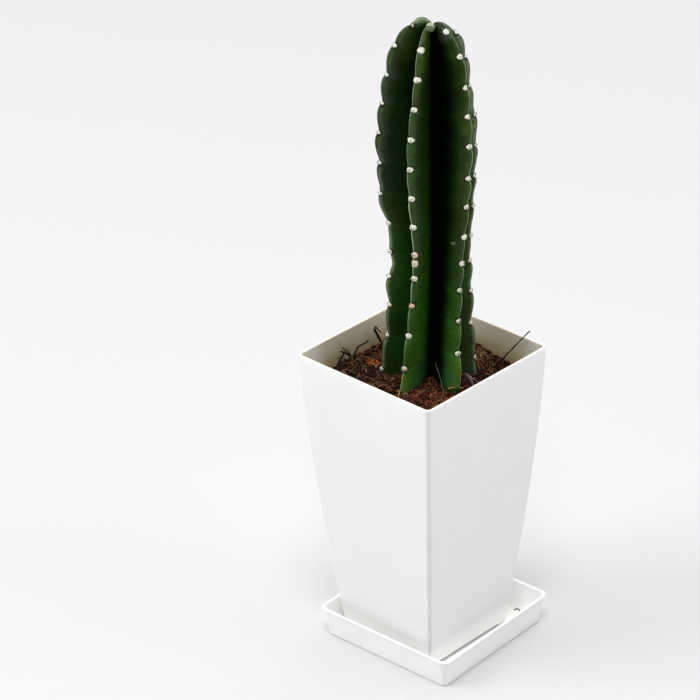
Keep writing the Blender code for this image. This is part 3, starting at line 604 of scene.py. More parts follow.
def skin_paint(stem, points, level, section, cap, rib):
    """The skin's colour: pale crest edges partly painted as highlights, green crests, flanks and furrows darkened
    partly by painted shade, waxy bloom with painted sheen, and areole rings partly painted as shadow.
    """
    table = np.array([(row[0], *srgb(*row[1]), *srgb(*row[2]), *srgb(*row[3])) for row in SKIN_COLOURS])
    found = np.stack([np.interp(level, table[:, 0], table[:, k]) for k in range(1, 10)], -1)
    crest, flank, deep = found[:, :3], found[:, 3:6], found[:, 6:]
    broad, fine = noise_at(points, BROAD), noise_at(points, FINE, 5)
    side = (cap > 0).astype(int)
    # Painted shade: the flanks darken towards the furrows at sections set for each rib and side, and the furrows go
    # near black
    dark = mix(np.array(LOW_FLANK_SHADES)[rib, side], np.array(HIGH_FLANK_SHADES)[rib, side], smoothstep(*FLANK_CHANGE, level))
    tint = mix(crest, flank, smoothstep(0.05, 0.27, section + 0.04 * broad))
    tint = mix(tint, srgb(*OLIVE), np.clip(broad - 0.15, 0, 1) * 0.9 * (1 - smoothstep(0.3, 0.6, section)))
    tint = mix(tint, deep, smoothstep(dark[:, 0], dark[:, 1], section + 0.05 * broad))
    tint = mix(tint, srgb(*FURROW_SKIN_AND_SHADE), dark[:, 2] * smoothstep(0.75 * dark[:, 1], 1.2 * dark[:, 1], section))
    # Waxy bloom mixed with painted sheen along the crests
    bloom_and_sheen = np.array(BLOOM_AND_SHEEN_SHARES)[rib] * (1 - smoothstep(0, 0.24, section)) * (0.75 + 0.5 * fine)
    tint = mix(tint, srgb(*BLOOM_AND_SHEEN_COLOUR), np.clip(bloom_and_sheen, 0, 1))
    # Darker skin: older skin low down, painted shade higher up
    for which, colour, share, low, top in DULL_AND_SHADED_SKIN:
        here = smoothstep(low - 15, low + 15, level) - smoothstep(top - 22, top + 22, level)
        tint = mix(tint, srgb(*colour), share * here * (rib == which) * (1 - smoothstep(0.35, 0.7, section)))
    for which, middle, share, start in SHEENS:
        sheen = np.exp(-(((cap - middle) / SHEEN_WIDTH) ** 2)) * (0.8 + 0.5 * fine)
        sheen = share * sheen * (rib == which) * smoothstep(start - 20, start + 20, level)
        tint = mix(tint, srgb(*SHEEN_COLOUR), np.clip(sheen, 0, 1))
    tint = tint * (table_value(SKIN_LEVELS, level) * (1 + 0.3 * fine))[:, None]
    # Pale edge lines, partly the crest's own pale line and partly painted highlights
    high = smoothstep(*LINE_CHANGE, level)
    line = np.exp(-(((np.abs(cap) - between(np.array(LINE_PLACES)[rib], high)) / LINE_WIDTH) ** 2))
    line *= between(np.array(EDGE_LINES_AND_HIGHLIGHTS)[rib, side], high) * (1 + 0.5 * fine)
    tint = mix(tint, srgb(*LINE_AND_HIGHLIGHT_COLOUR), np.clip(line, 0, 1))
    # A dark ring round each areole, partly its own colour and partly painted shadow
    ring = 1 - smoothstep(*RING_FADE, areole_distance(stem, points) + 0.5 * MM * fine)
    tint = mix(tint, srgb(*RING_AND_SHADOW_COLOUR), RING_SHARE * ring)
    for x, y, z, radius, colour, share in SKIN_PATCHES:
        away = norm(points - np.array((x, y, z)) * MM, axis=1) / (radius * MM)
        tint = mix(tint, srgb(*colour), share * np.exp(-(away**2)))
    return tint


def areole_distance(stem, points):
    """Distance from each point to the nearest areole."""
    places = [stem.crest_point(rib, arc) for rib in range(RIB_COUNT) for arc in stem.areoles[rib]]
    nearest = np.full(len(points), 1.0)
    for place in places:
        nearest = np.minimum(nearest, norm(points - place, axis=1))
    return nearest


def build_skin(stem):
    buried = np.linspace(0, stem.ground_arc, BURIED_ROWS, endpoint=False)
    rows = round((stem.length - SKIN_END - stem.ground_arc) / SKIN_STEP)
    arcs = np.concatenate([buried, np.linspace(stem.ground_arc, stem.length - SKIN_END, rows)])
    grid = stem.rings(arcs)
    points = grid.reshape(-1, 3)
    sections = [CAP_SHARE * s for s in CAP_STEPS] + FLANK_STEPS
    caps = CAP_STEPS + [1 + 4 * (s - CAP_SHARE) for s in FLANK_STEPS]
    section = (sections[-2:0:-1] + sections) * RIB_COUNT
    cap = ([-c for c in caps[-2:0:-1]] + caps) * RIB_COUNT
    ribs = np.repeat(range(RIB_COUNT), len(section) // RIB_COUNT)
    level = np.repeat(stem.crest(arcs)[0], len(section)) / MM
    paint = skin_paint(stem, points, level, np.tile(section, len(arcs)), np.tile(cap, len(arcs)),
                       np.tile(ribs, len(arcs)))
    skins = [painted("crest_skin" if k == 0 else f"flank_skin_{k}", roughness, specular, *SKIN_GRAIN, SKIN_BUMPS)
             for k, (_, specular, roughness) in enumerate(SKIN_GLOSS)]
    made = add_piece("cactus_stem", points, loft_faces(len(arcs), len(section)), skins[0], "cactus", paint)
    index = np.zeros(len(made.data.polygons), np.int32)
    for k in range(1, len(skins)):
        made.data.materials.append(skins[k])
        dull = np.minimum(section, np.roll(section, -1)) > SKIN_GLOSS[k][0]
        index[:len(index) - 2][np.tile(dull, len(arcs) - 1)] = k
    made.data.polygons.foreach_set("material_index", index)


def build_wool(stem):
    draw = random.Random(SEED)
    wool, spines = Batch(), Batch()
    for rib in range(RIB_COUNT):
        for arc in stem.areoles[rib]:
            place, out, up, side = stem.frame_at(rib, arc)
            height = place[2] / MM
            size = AREOLE_RADIUS * draw.uniform(0.9, 1.1) * AREOLE_SIZES[rib]
            if height < BURIED_BELOW:
                continue
            old = (1 - smoothstep(250, 330, height)) * draw.uniform(0.1, 0.9)
            base = mix(srgb(*YOUNG_WOOL), srgb(*OLD_WOOL), old)
            place = place - out * (AREOLE_HEIGHT * (1 - AREOLE_SIZES[rib]))
            middle = 0.9
            for which, low, top, share, light, colour in AREOLE_LOOKS:
                if rib == which and low < height < top:
                    size, middle = size * share, light
                    base = srgb(*colour) if colour else base
            if rib == PAUSED_RIB and TALL_AREOLE[0] < height < TALL_AREOLE[1]:
                up, side = up * 1.3, side * 0.9
            if height < DIRTY_BELOW:
                base = base * 0.72
            if rib == BACK_RIB and height > BACK_RIB_TOP:
                cushion(wool, draw, (place, out, up, side), size * 0.5, base * 0.5, middle)
                continue
            if rib == 0 and height > FIRST_RIB_TOP:
                base, size, place = base * 0.75, size * 0.8, place - out * (0.5 * MM)
            seat = (place, out, up, side)
            cushion(wool, draw, seat, size, base, middle)
            tuft(wool, draw, seat, size, base, HAIR_COUNT)
            spine_group(spines, draw, seat, size)
    place, out, up, side = stem.frame_at(YOUNG_RIB, stem.length - YOUNG_AREOLE)
    place = place + side * YOUNG_SHIFT
    lower, upper, hairs = (srgb(*colour) for colour in YOUNG_COLOURS)
    cushion(wool, draw, (place - out * (0.8 * MM), out, up, side), YOUNG_SIZE, lower, 0.6)
    place = place + up * (YOUNG_SIZE * 0.5)
    cushion(wool, draw, (place, out, up * 0.6, side), YOUNG_SIZE * 0.75, upper, 0.9)
    tuft(wool, draw, (place, out, up, side), YOUNG_SIZE * 0.75, hairs, 2 * HAIR_COUNT - 2)
    felt = painted("wool", 0.95, 0.2, 0.35 * MM, 0.85, 1.1, [(0.5 * MM, 0.2 * MM, (1, 1, 1))])
    wool.piece("areole_wool", felt, "cactus")
    spines.piece("spines", painted("spine", 0.5, 0.4, 0.5 * MM, 0.8, 1.2), "cactus")


def cushion(batch, draw, seat, size, base, middle):
    """A felted dome of uneven outline, painted darker in its middle and round its foot as painted shade. Middle is the
    share of light that its middle keeps.
    """
    place, out, up, side = seat
    corners = [draw.uniform(0.86, 1.06) for _ in range(5)]
    points, paint = [], []
    for ring in range(CUSHION_RINGS):
        lean = 2 * (1 - ring / (CUSHION_RINGS - 1))
        for k in range(CUSHION_SIDES):
            turn = 2 * math.pi * k / CUSHION_SIDES
            uneven = float(np.interp(5 * k / CUSHION_SIDES, range(6), corners + corners[:1]))
            rough = uneven + 0.05 * draw.uniform(-1, 1)
            radius = size * math.sin(lean) * rough
            rise = AREOLE_HEIGHT * math.cos(lean) * (0.85 + 0.15 * rough)
            points.append(place + side * (radius * math.cos(turn)) + up * (radius * math.sin(turn)) + out * rise)
            # Painted shade darkens the dome's middle and its foot
            shade = middle + (1 - middle) * smoothstep(0.35, 1, lean)
            shade *= 1 - 0.35 * smoothstep(1.35, 1.9, lean)
            paint.append(base * shade * draw.uniform(0.92, 1.04))
    batch.add(points, loft_faces(CUSHION_RINGS, CUSHION_SIDES), np.array(paint))


def tuft(batch, draw, seat, size, base, count):
    """Short crimped hairs over the cushion."""
    place, out, up, side = seat
    for _ in range(count):
        turn = draw.uniform(0, 2 * math.pi)
        lean = math.acos(draw.uniform(0, 0.9))
        around = side * math.cos(turn) + up * math.sin(turn)
        ray = out * math.cos(lean) + around * math.sin(lean)
        root = place + around * (size * math.sin(lean) * 0.9) + out * (AREOLE_HEIGHT * math.cos(lean) * 0.92)
        curl = np.array([draw.gauss(0, 1) for _ in range(3)])
        curl /= norm(curl)
        length = draw.uniform(0.4, 1) * MM
        line = [root + ray * (length * t) + curl * (0.6 * length * t * t) for t in (0, 0.35, 0.7, 1)]
        batch.tube(line, HAIR_RADII, 3, base * draw.uniform(0.85, 1.1))


def spine_group(batch, draw, seat, size):
    """A few very short dark spines in the middle and thinner grey ones around."""
    place, out, up, side = seat
    for _ in range(draw.choice([3, 4, 5])):
        turn = draw.uniform(0, 2 * math.pi)
        lean = draw.uniform(0.2, 1)
        around = side * math.cos(turn) + up * math.sin(turn)
        root = place + out * (AREOLE_HEIGHT * (0.85 - 0.25 * lean)) + around * (size * 0.45 * lean)
        spine(batch, root, out + around * lean, draw.uniform(0.8, 1.4) * MM, 0.4 * MM, SPINE_COLOUR)
    for k in range(SIDE_SPINES):
        turn = 2 * math.pi * (k + draw.uniform(0.1, 0.9)) / SIDE_SPINES
        ray = out * 0.45 + (side * math.cos(turn) + up * math.sin(turn))
        ray /= norm(ray)
        root = place + out * (AREOLE_HEIGHT * 0.35) + ray * (size * 0.5)
        spine(batch, root, ray, draw.uniform(1.1, 2) * MM, 0.14 * MM, SIDE_SPINE_COLOUR)


def spine(batch, root, ray, length, radius, colour):
    ray = ray / norm(ray)
    line = [root, root + ray * (length * 0.6), root + ray * length]
    batch.tube(line, [radius, radius * 0.6, radius * 0.1], 5, srgb(*colour) * np.array([[1], [1], [0.5]]))


# Mulch

# Strands and chips: how many, their lengths and radii in millimetres, and how flat they are
STRANDS = (3300, (3, 9), (0.22, 0.5), (0.5, 1))
CHIPS = (300, (3, 7), (0.8, 1.5), (0.2, 0.4))
# Most strands are dark, and some are pale
DARK_STRANDS = [(66, 36, 24), (48, 26, 17), (32, 18, 12), (92, 50, 33)]
PALE_STRAND = (150, 122, 96)
PALE_SHARE = 0.07
# The bed under the strands: dark coir, painted darker as the shade in the gaps between strands
BED_AND_SHADE_COLOURS = (22, 12, 8), (56, 30, 19)
# Where strands are bright: place, spread, share and the colours
MULCH_TONES = [(22, -16, 15, 0.65, [(150, 88, 62), (120, 66, 44), (86, 46, 30)]),
               (-36, -12, 4.5, 0.85, [(206, 114, 58), (180, 94, 46), (140, 72, 36)]),
               (-49, -14, 4, 0.9, [(30, 18, 12), (22, 13, 9), (44, 27, 18)]),
               (13, 46, 8, 0.8, [(168, 130, 80), (138, 102, 62), (104, 72, 44)]),
               (22, 35, 7, 0.5, [(92, 42, 28), (70, 30, 20), (40, 20, 12)]),
               (-20, 35, 18, 0.35, [(150, 92, 62), (116, 64, 42)]),
               (-44, 6, 10, 0.2, [(164, 104, 70), (130, 78, 52)])]
# Twigs and fibres: colour, first and last radius, then their knots, all in millimetres
TWIG, STRAW, ROOT = (42, 25, 15), (152, 128, 88), (176, 170, 152)
FIBRES = [
    (TWIG, 0.95, 0.7, [(-53, -30.5, 196.5), (-53, -28.2, 202.7), (-53, -25.2, 206.1), (-53, -21.2, 209)]),
    (STRAW, 0.25, 0.1, [(-53, -21.2, 209), (-53, -22.9, 214), (-53, -25.1, 220), (-53, -25.6, 222)]),
    (TWIG, 0.6, 0.8, [(-53, -23.9, 212.5), (-53, -19.1, 209), (-53, -14.3, 204.7), (-52, -10.5, 200)]),
    (TWIG, 0.85, 0.6, [(-53, -14.5, 200), (-53, -9.3, 206.9), (-53, -6.3, 209.3), (-53, -2.2, 209.5),
                       (-53, 3.1, 209.6)]),
    (TWIG, 0.4, 0.45, [(-53, -21.9, 214.8), (-53, -18.1, 209), (-52, -13, 202)]),
    (TWIG, 0.35, 0.6, [(-53, -19.4, 213), (-53, -16.8, 209.5), (-52.5, -14.6, 205), (-52, -12.4, 201)]),
    (TWIG, 0.3, 0.5, [(-53, -28.4, 208.6), (-53, -25, 208), (-53, -21.4, 209.6), (-53, -18, 208.4)]),
    (TWIG, 1.15, 0.95, [(-52, 18.5, 198), (-53, 15.7, 204), (-53, 12.3, 210.5), (-53, 9.2, 216.6)]),
    (TWIG, 0.7, 0.35, [(-53, 9.6, 215.6), (-53, 10.8, 217.4), (-53, 13.9, 213.4), (-53, 16.4, 210.5)]),
    (TWIG, 0.4, 0.5, [(-53, -20.6, 205.6), (-52.5, -19.5, 198)]),
    ((24, 16, 12), 0.55, 0.4, [(25.2, 41.5, 199), (35.6, 49.5, 214.7), (45.9, 57.4, 230.3)]),
    (TWIG, 0.4, 0.35, [(29.4, 49.5, 206.5), (33.4, 50, 201)]),
    (STRAW, 0.4, 0.3, [(13, 50, 200), (15.5, 50, 203.6), (22.2, 50.4, 206.7), (31.2, 51, 211.2)]),
    (ROOT, 0.2, 0.16, [(19.5, 20.6, 202), (22.9, 19.8, 204.2), (29, 16.6, 204.6), (33.3, 14.4, 202)]),
    (ROOT, 0.18, 0.16, [(20.4, 22.1, 202), (25.9, 18.6, 204.4), (31.5, 17.7, 204), (35, 19, 202)]),
    ((112, 122, 96), 0.2, 0.16, [(24.5, -6.4, 202), (24.1, -6.1, 205), (20.4, -6, 214), (17.4, -6, 222)]),
    (ROOT, 0.2, 0.14, [(31.9, 15.2, 201), (31.1, 14.9, 203), (30.3, 12, 208), (29.7, 9.8, 212)]),
    (STRAW, 0.35, 0.25, [(-48, -27.8, 201), (-42, -28.6, 204.4), (-36, -29, 204), (-31, -28.8, 201.5)]),
    (STRAW, 0.45, 0.3, [(2, -27.5, 203.5), (5.5, -28.8, 205), (8.6, -33.5, 204)]),
    (STRAW, 0.4, 0.3, [(26.4, -3.4, 204), (28.6, -1, 205), (32.6, 4.4, 204)]),
    (TWIG, 0.5, 0.35, [(-40, -14, 200), (-37.5, -18, 211), (-35.5, -22, 213)]),
    (TWIG, 0.45, 0.3, [(-43, -21, 200), (-39, -21.5, 210), (-34.5, -19.5, 212)]),
]
# Fine hairs that stand up in clumps: place, spread, count and length
FUZZ = [(-48, -18, 6, 70, 11), (-45, 0, 7, 40, 9), (8, 47, 6, 40, 9), (27, 50, 7, 40, 10),
        (-30, 40, 9, 30, 8), (40, 20, 9, 20, 6), (0, -44, 10, 20, 5)]
# Thin fibres in arches all over the mulch: how many, and their colours beside twig and straw
ARCH_COUNT = 260
ARCH_COLOURS = (110, 70, 46), (150, 104, 74)
HAIR_COLOUR = (104, 62, 38)
# Crumbs of mulch that have fallen into the saucer: place, length and heading
CRUMBS = [(36.6, 57, 2.4, 4.2, 0.5), (38.2, 56.6, 2.3, 3.2, 2.2), (35.2, 55.8, 2.3, 2.4, 1.2),
          (37.4, 58.2, 2.4, 2.6, 1.8)]
CRUMB_COLOUR = (96, 70, 48)
CRUMB_RADII = np.array((0.2, 0.5, 0.15)) * MM


def stem_outline(stem):
    """The stem's outline in plan where it leaves the mulch."""
    return stem.rings(np.array([stem.ground_arc]))[0, :, :2]


def outline_distance(xy, outline):
    """Distance in plan from an outline, negative inside it."""
    ahead = np.roll(outline, -1, axis=0)
    edge = ahead - outline
    away = xy[:, None] - outline
    share = np.clip((away * edge).sum(-1) / np.maximum((edge**2).sum(-1), 1e-12), 0, 1)
    nearest = norm(away - share[..., None] * edge, axis=-1).min(axis=1)
    crosses = (outline[:, 1] > xy[:, 1:]) != (ahead[:, 1] > xy[:, 1:])
    slope = edge[:, 0] / np.where(edge[:, 1] == 0, 1e-12, edge[:, 1])
    left = xy[:, :1] < outline[:, 0] + away[..., 1] * slope
    return np.where((crosses & left).sum(axis=1) % 2, -nearest, nearest)


def mulch_base(xy, outline):
    """Height of the mulch without its fine relief."""
    level = np.full(len(xy), MULCH_LEVEL)
    for x, y, rise, spread in HEAPS:
        away = np.hypot(xy[:, 0] - x * MM, xy[:, 1] - y * MM) / MM
        level += rise * MM * np.exp(-((away / spread) ** 2) / 2)
    centre = outline.mean(axis=0)
    away = np.hypot(*(xy - centre).T) / MM
    rise, start, width = STEM_HEAP
    return level + rise * np.clip((start - away) / width, 0, 1) - BED_DROP


def mulch_relief(xy):
    flat = np.column_stack([xy, np.zeros(len(xy))])
    return sum(height * noise_at(flat, size * MM, offset) for size, offset, height in RELIEF) * MM


def pot_half(z):
    t = np.clip((z - POT_BASE_Z) / (POT_TOP - POT_BASE_Z), 0, 1)
    return POT_BOTTOM_HALF + (POT_RIM_HALF - POT_BOTTOM_HALF) * (1 - (1 - t) ** POT_BULGE)


def mulch_half(gap):
    """Half the mulch's width when it stays a gap off the pot's wall."""
    return float(pot_half(MULCH_LEVEL)) - POT_WALL - gap


def build_mulch(stem):
    outline = stem_outline(stem)
    half = mulch_half(0.2 * MM)
    steps = MULCH_STEPS
    line = np.linspace(-half, half, steps)
    x, y = np.meshgrid(line, line, indexing="ij")
    xy = np.column_stack([x.ravel(), y.ravel()])
    inner = half - POT_INNER_CORNER
    corner = np.abs(xy) - inner
    reach = np.hypot(*np.maximum(corner, 0).T)
    outside = (corner.min(axis=1) > 0) & (reach > POT_INNER_CORNER)
    xy[outside] = np.sign(xy[outside]) * (inner + corner[outside] * (POT_INNER_CORNER / reach[outside])[:, None])
    top = np.column_stack([xy, mulch_base(xy, outline) + mulch_relief(xy)])
    grid = np.arange(steps * steps).reshape(steps, steps)
    faces = np.stack([grid[:-1, :-1], grid[1:, :-1], grid[1:, 1:], grid[:-1, 1:]], -1).reshape(-1, 4).tolist()
    rim = np.concatenate([grid[:, 0], grid[-1, 1:], grid[-2::-1, -1], grid[0, -2:0:-1]]).tolist()
    low = top[rim].copy()
    low[:, 2] = SOIL_TOP + 0.3 * MM
    under = list(range(len(top), len(top) + len(rim)))
    faces += [(rim[k], under[k], under[(k + 1) % len(rim)], rim[(k + 1) % len(rim)]) for k in range(len(rim))]
    faces.append(tuple(reversed(under)))
    points = np.vstack([top, low])
    # Dark coir with painted shade for the gaps between strands
    paint = mix(*(srgb(*colour) for colour in BED_AND_SHADE_COLOURS), smoothstep(-0.3, 0.6, noise_at(points, 6 * MM, 20)))
    coir = painted("coir", 0.9, 0.12, 0.7 * MM, 0.6, 1.4, [(0.7 * MM, 0.4 * MM, (1, 1, 1))])
    add_piece("mulch_bed", points, faces, coir, "coir_mulch", paint)
    strands, fibres = Batch(), Batch()
    draw = random.Random(SEED)
    scatter(strands, draw, outline, *STRANDS)
    scatter(strands, draw, outline, *CHIPS)
    strands.piece("mulch_strands", coir, "coir_mulch")
    lay_fibres(fibres, draw, outline)
    wood = painted("fibre", 0.8, 0.2, 0.7 * MM, 0.7, 1.3, [(0.5 * MM, 0.15 * MM, (1, 1, 1))])
    fibres.piece("mulch_fibres", wood, "coir_mulch")


def strand_colour(draw, x, y):
    """Near-black brown for most strands, and the colours of the brighter patches."""
    for centre_x, centre_y, spread, share, colours in MULCH_TONES:
        near = math.exp(-((x - centre_x) ** 2 + (y - centre_y) ** 2) / (2 * spread**2))
        if draw.random() < share * near:
            return srgb(*draw.choice(colours)) * draw.uniform(0.6, 1.15)
    if draw.random() < PALE_SHARE:
        return srgb(*PALE_STRAND) * draw.uniform(0.5, 1)
    return srgb(*draw.choice(DARK_STRANDS)) * draw.uniform(0.6, 1.4)


def scatter(batch, draw, outline, count, lengths, sizes, flatness):
    """Short curved pieces strewn over the mulch, each with its own tilt."""
    reach = mulch_half(1.4 * MM)
    steps = np.linspace(-0.5, 0.5, 5)
    swell = np.array([0.35, 0.9, 1, 0.85, 0.25])
    made = 0
    while made < count:
        x, y = draw.uniform(-reach, reach), draw.uniform(-reach, reach)
        heading = draw.uniform(0, 2 * math.pi) + draw.uniform(-0.9, 0.9) * 2 * steps
        length = draw.uniform(*lengths) * MM
        flat = np.column_stack([x + np.cos(heading) * length * steps, y + np.sin(heading) * length * steps])
        tilt, rise, lift = draw.gauss(0, 0.28), draw.uniform(0, 1.6) * MM, draw.uniform(-0.4, 1.9) * MM
        if np.abs(flat).max() > reach or outline_distance(flat, outline).min() < 0.4 * MM:
            continue
        made += 1
        height = mulch_base(flat, outline) + lift + tilt * length * steps + rise * (1 - 4 * steps**2)
        radius = draw.uniform(*sizes) * MM
        colour = strand_colour(draw, x / MM, y / MM)
        shade = colour * np.linspace(0.8, 1.2, len(steps))[:, None]
        batch.tube(np.column_stack([flat, height]), radius * swell, 4, shade, draw.uniform(*flatness),
                   draw.uniform(0, math.pi))


def lay_fibres(batch, draw, outline):
    """The crumbs in the saucer, the twigs and fibres that stand out of the mulch, and fine hairs all over it."""
    for x, y, z, length, turn in CRUMBS:
        way = np.array((math.cos(turn), math.sin(turn), 0.25)) * length / 2
        place = np.array((x, y, z))
        batch.tube([(place - way) * MM, place * MM, (place + way) * MM], CRUMB_RADII, 5, srgb(*CRUMB_COLOUR))
    for colour, first, last, knots in FIBRES:
        line = smooth_curve(knots, 6) * MM
        line += np.array([[draw.gauss(0, 0.12) * MM for _ in range(3)] for _ in line])
        radii = np.linspace(first, last, len(line)) * np.array([draw.uniform(0.85, 1.15) for _ in line]) * MM
        batch.tube(line, radii, 6, srgb(*colour))
    reach = mulch_half(1.6 * MM)
    lay_arches(batch, draw, outline, reach)
    for x, y, spread, count, rise in FUZZ:
        for _ in range(count):
            start = np.array((x + draw.gauss(0, spread), y + draw.gauss(0, spread), MULCH_LEVEL / MM)) * MM
            way = np.array((draw.gauss(0, 0.6), draw.gauss(0, 0.6), draw.uniform(0.3, 1)))
            curl = np.array((draw.gauss(0, 1), draw.gauss(0, 1), -0.5))
            length = draw.uniform(0.5, 1) * rise * MM
            line = [start + way * (length * t) + curl * (0.3 * length * t * t) for t in np.linspace(0, 1, 6)]
            if np.abs(np.array(line)[:, :2]).max() < reach:
                batch.tube(line, np.linspace(0.26, 0.1, 6) * MM, 4, srgb(*draw.choice([TWIG, HAIR_COLOUR])))


def lay_arches(batch, draw, outline, reach):
    """Thin fibres that rise out of the mulch and go back into it."""
    steps = np.linspace(0, 1, 8)
    made = 0
    while made < ARCH_COUNT:
        x, y = draw.uniform(-reach, reach), draw.uniform(-reach, reach)
        yaw, span = draw.uniform(0, 2 * math.pi), draw.uniform(6, 18) * MM
        bend, rise = draw.uniform(-1.4, 1.4), draw.uniform(0.5, 5) * MM
        heading = yaw + bend * steps
        stride = span / len(steps)
        flat = np.column_stack([x + np.cumsum(np.cos(heading)) * stride, y + np.cumsum(np.sin(heading)) * stride])
        if np.abs(flat).max() > reach or outline_distance(flat, outline).min() < 1 * MM:
            continue
        made += 1
        height = mulch_base(flat, outline) + 0.6 * MM + rise * 4 * steps * (1 - steps)
        colour = srgb(*draw.choice([TWIG, *ARCH_COLOURS, STRAW])) * draw.uniform(0.6, 1.1)
        batch.tube(np.column_stack([flat, height]), np.linspace(0.18, 0.1, 8) * MM, 4, colour)


# Pot and saucer


def rounded_square(half, radius, z, side_points=0):
    """Points round a square with arc corners, anticlockwise, with extra points along each side."""
    turns = np.linspace(0, math.pi / 2, CORNER_STEPS + 1)
    corner = half - radius + radius * np.column_stack([np.cos(turns), np.sin(turns)])
    along = (half - radius) * (1 - 2 * np.arange(1, side_points + 1) / (side_points + 1))
    quarter = np.vstack([corner, np.column_stack([along, np.full(side_points, half)])])
    flat = np.vstack([quarter @ np.array(((x, y), (-y, x))) for x, y in ((1, 0), (0, 1), (-1, 0), (0, -1))])
    return np.column_stack([flat, np.full(len(flat), z)])


def arc(steps, turn):
    """Share, cosine and sine at each step of an arc."""
    return [(k / steps, math.cos(turn * k / steps), math.sin(turn * k / steps)) for k in range(steps + 1)]


def plastic(name):
    return painted(name, PLASTIC_ROUGHNESS, 0.5, 30 * MM, 0.99, 1.01, [(0.35 * MM, 0.004 * MM, (1, 1, 1))])


def plate(points, loops, facing):
    """Triangles that fill a flat outline, given first, round its holes, facing up (1) or down (-1)."""
    order = [i for loop in loops for i in loop]
    faces = []
    for a, b, c in tessellate_polygon([[Vector(points[i]) for i in loop] for loop in loops]):
        a, b, c = order[a], order[b], order[c]
        rise = np.cross(points[b] - points[a], points[c] - points[a])[2]
        faces.append((a, b, c) if rise * facing > 0 else (a, c, b))
    return faces


def band(low, high):
    """Faces between two rings of point numbers."""
    return [(low[k], low[(k + 1) % len(low)], high[(k + 1) % len(low)], high[k]) for k in range(len(low))]


def pot_paint(points, inside):
    """White plastic with painted shade along its outer corners; inside, a brighter white and earthy stains mixed with
    painted warm bounce light, with lighter corners as painted bounce light.
    """
    spans = np.abs(points[:, :2])
    near = spans.min(axis=1)
    dirt = 1 - smoothstep(*STAIN_FADE, points[:, 2] + 2.5 * MM * noise_at(points, 9 * MM))
    # Stains with painted warm bounce light, kept off the corners so that they stay lighter as painted bounce light
    stain_and_bounce = (STAIN_AND_BOUNCE_SHARES[0] + STAIN_AND_BOUNCE_SHARES[1] * dirt) * (1 - LIT_CORNER_SHARE * smoothstep(*LIT_INNER_CORNERS, near))
    # Painted shade along the outer corners
    corner = smoothstep(CORNER_START, 1, near / np.maximum(spans.max(axis=1), MM))
    # Inside, a brighter, warmer white as painted bounce light
    white = np.where(inside[:, None], srgb(*INNER_LIT_WHITE), srgb(*POT_WHITE) * (1 - CORNER_SHADE * corner[:, None]))
    return mix(white, srgb(*WALL_DIRT_AND_BOUNCE), np.where(inside, stain_and_bounce, 0))


def build_pot():
    profile = [(POT_BOTTOM_HALF - POT_BASE_EDGE * (1 - sin), POT_BASE_Z + POT_BASE_EDGE * (1 - cos), POT_CORNER)
               for _, cos, sin in arc(EDGE_STEPS, math.pi / 2)]
    for z in np.linspace(POT_BASE_Z + POT_BASE_EDGE, POT_TOP - RIM_ROUND, POT_ROWS)[1:]:
        profile.append((float(pot_half(z)), z, POT_CORNER))
    for share, cos, sin in arc(2 * EDGE_STEPS, math.pi)[1:-1]:
        profile.append((POT_RIM_HALF - POT_WALL / 2 * (1 - cos), POT_TOP - RIM_ROUND + RIM_ROUND * sin,
                        POT_CORNER - (POT_CORNER - POT_INNER_CORNER) * share))
    for z in np.linspace(POT_TOP - RIM_ROUND, POT_FLOOR_Z + POT_BASE_EDGE, POT_ROWS):
        profile.append((float(pot_half(z)) - POT_WALL, z, POT_INNER_CORNER))
    profile.append((POT_BOTTOM_HALF - POT_WALL - POT_BASE_EDGE, POT_FLOOR_Z, POT_INNER_CORNER))
    rings = [rounded_square(half, radius, z, SIDE_POINTS) for half, z, radius in profile]
    count = len(rings[0])
    faces = loft_faces(len(rings), count, False)
    inside = [k > len(profile) / 2 for k in range(len(profile)) for _ in range(count)]

    def add_ring(ring):
        """Adds a ring and gives the numbers of its points."""
        start = sum(len(other) for other in rings)
        rings.append(ring)
        return list(range(start, start + len(ring)))

    base_loops = [list(range(count))]
    floor_loops = [list(range(len(inside) - count, len(inside)))]
    turns = 2 * math.pi * np.arange(DRAIN_SIDES) / DRAIN_SIDES
    for x, y in [(0, 0), (1, 0), (0, 1), (-1, 0), (0, -1)]:
        circle = (x * DRAIN_CIRCLE + DRAIN_RADIUS * np.cos(turns), y * DRAIN_CIRCLE + DRAIN_RADIUS * np.sin(turns))
        for z, loops in ((POT_BASE_Z, base_loops), (POT_FLOOR_Z, floor_loops)):
            loops.append(add_ring(np.column_stack([*circle, np.full(DRAIN_SIDES, z)])))
        faces += band(floor_loops[-1], base_loops[-1])
    middle = POT_BOTTOM_HALF - POT_BASE_EDGE - FOOT_SIZE / 2
    for x, y in [(1, 1), (-1, 1), (-1, -1), (1, -1)]:
        shift = np.array((x * middle, y * middle, 0))
        top, foot = (add_ring(rounded_square(FOOT_SIZE / 2 * size, FOOT_RADIUS, z) + shift)
                     for z, size in ((POT_BASE_Z, 1), (POT_FOOT_Z, FOOT_TAPER)))
        base_loops.append(top)
        faces += band(foot, top) + [tuple(reversed(foot))]
    points = np.vstack(rings)
    faces += plate(points, base_loops, -1) + plate(points, floor_loops, 1)
    paint = pot_paint(points, np.array(inside + [False] * (len(points) - len(inside))))
    add_piece("pot_shell", points, faces, plastic("pot_plastic"), "pot", paint, SHARP_ANGLE)


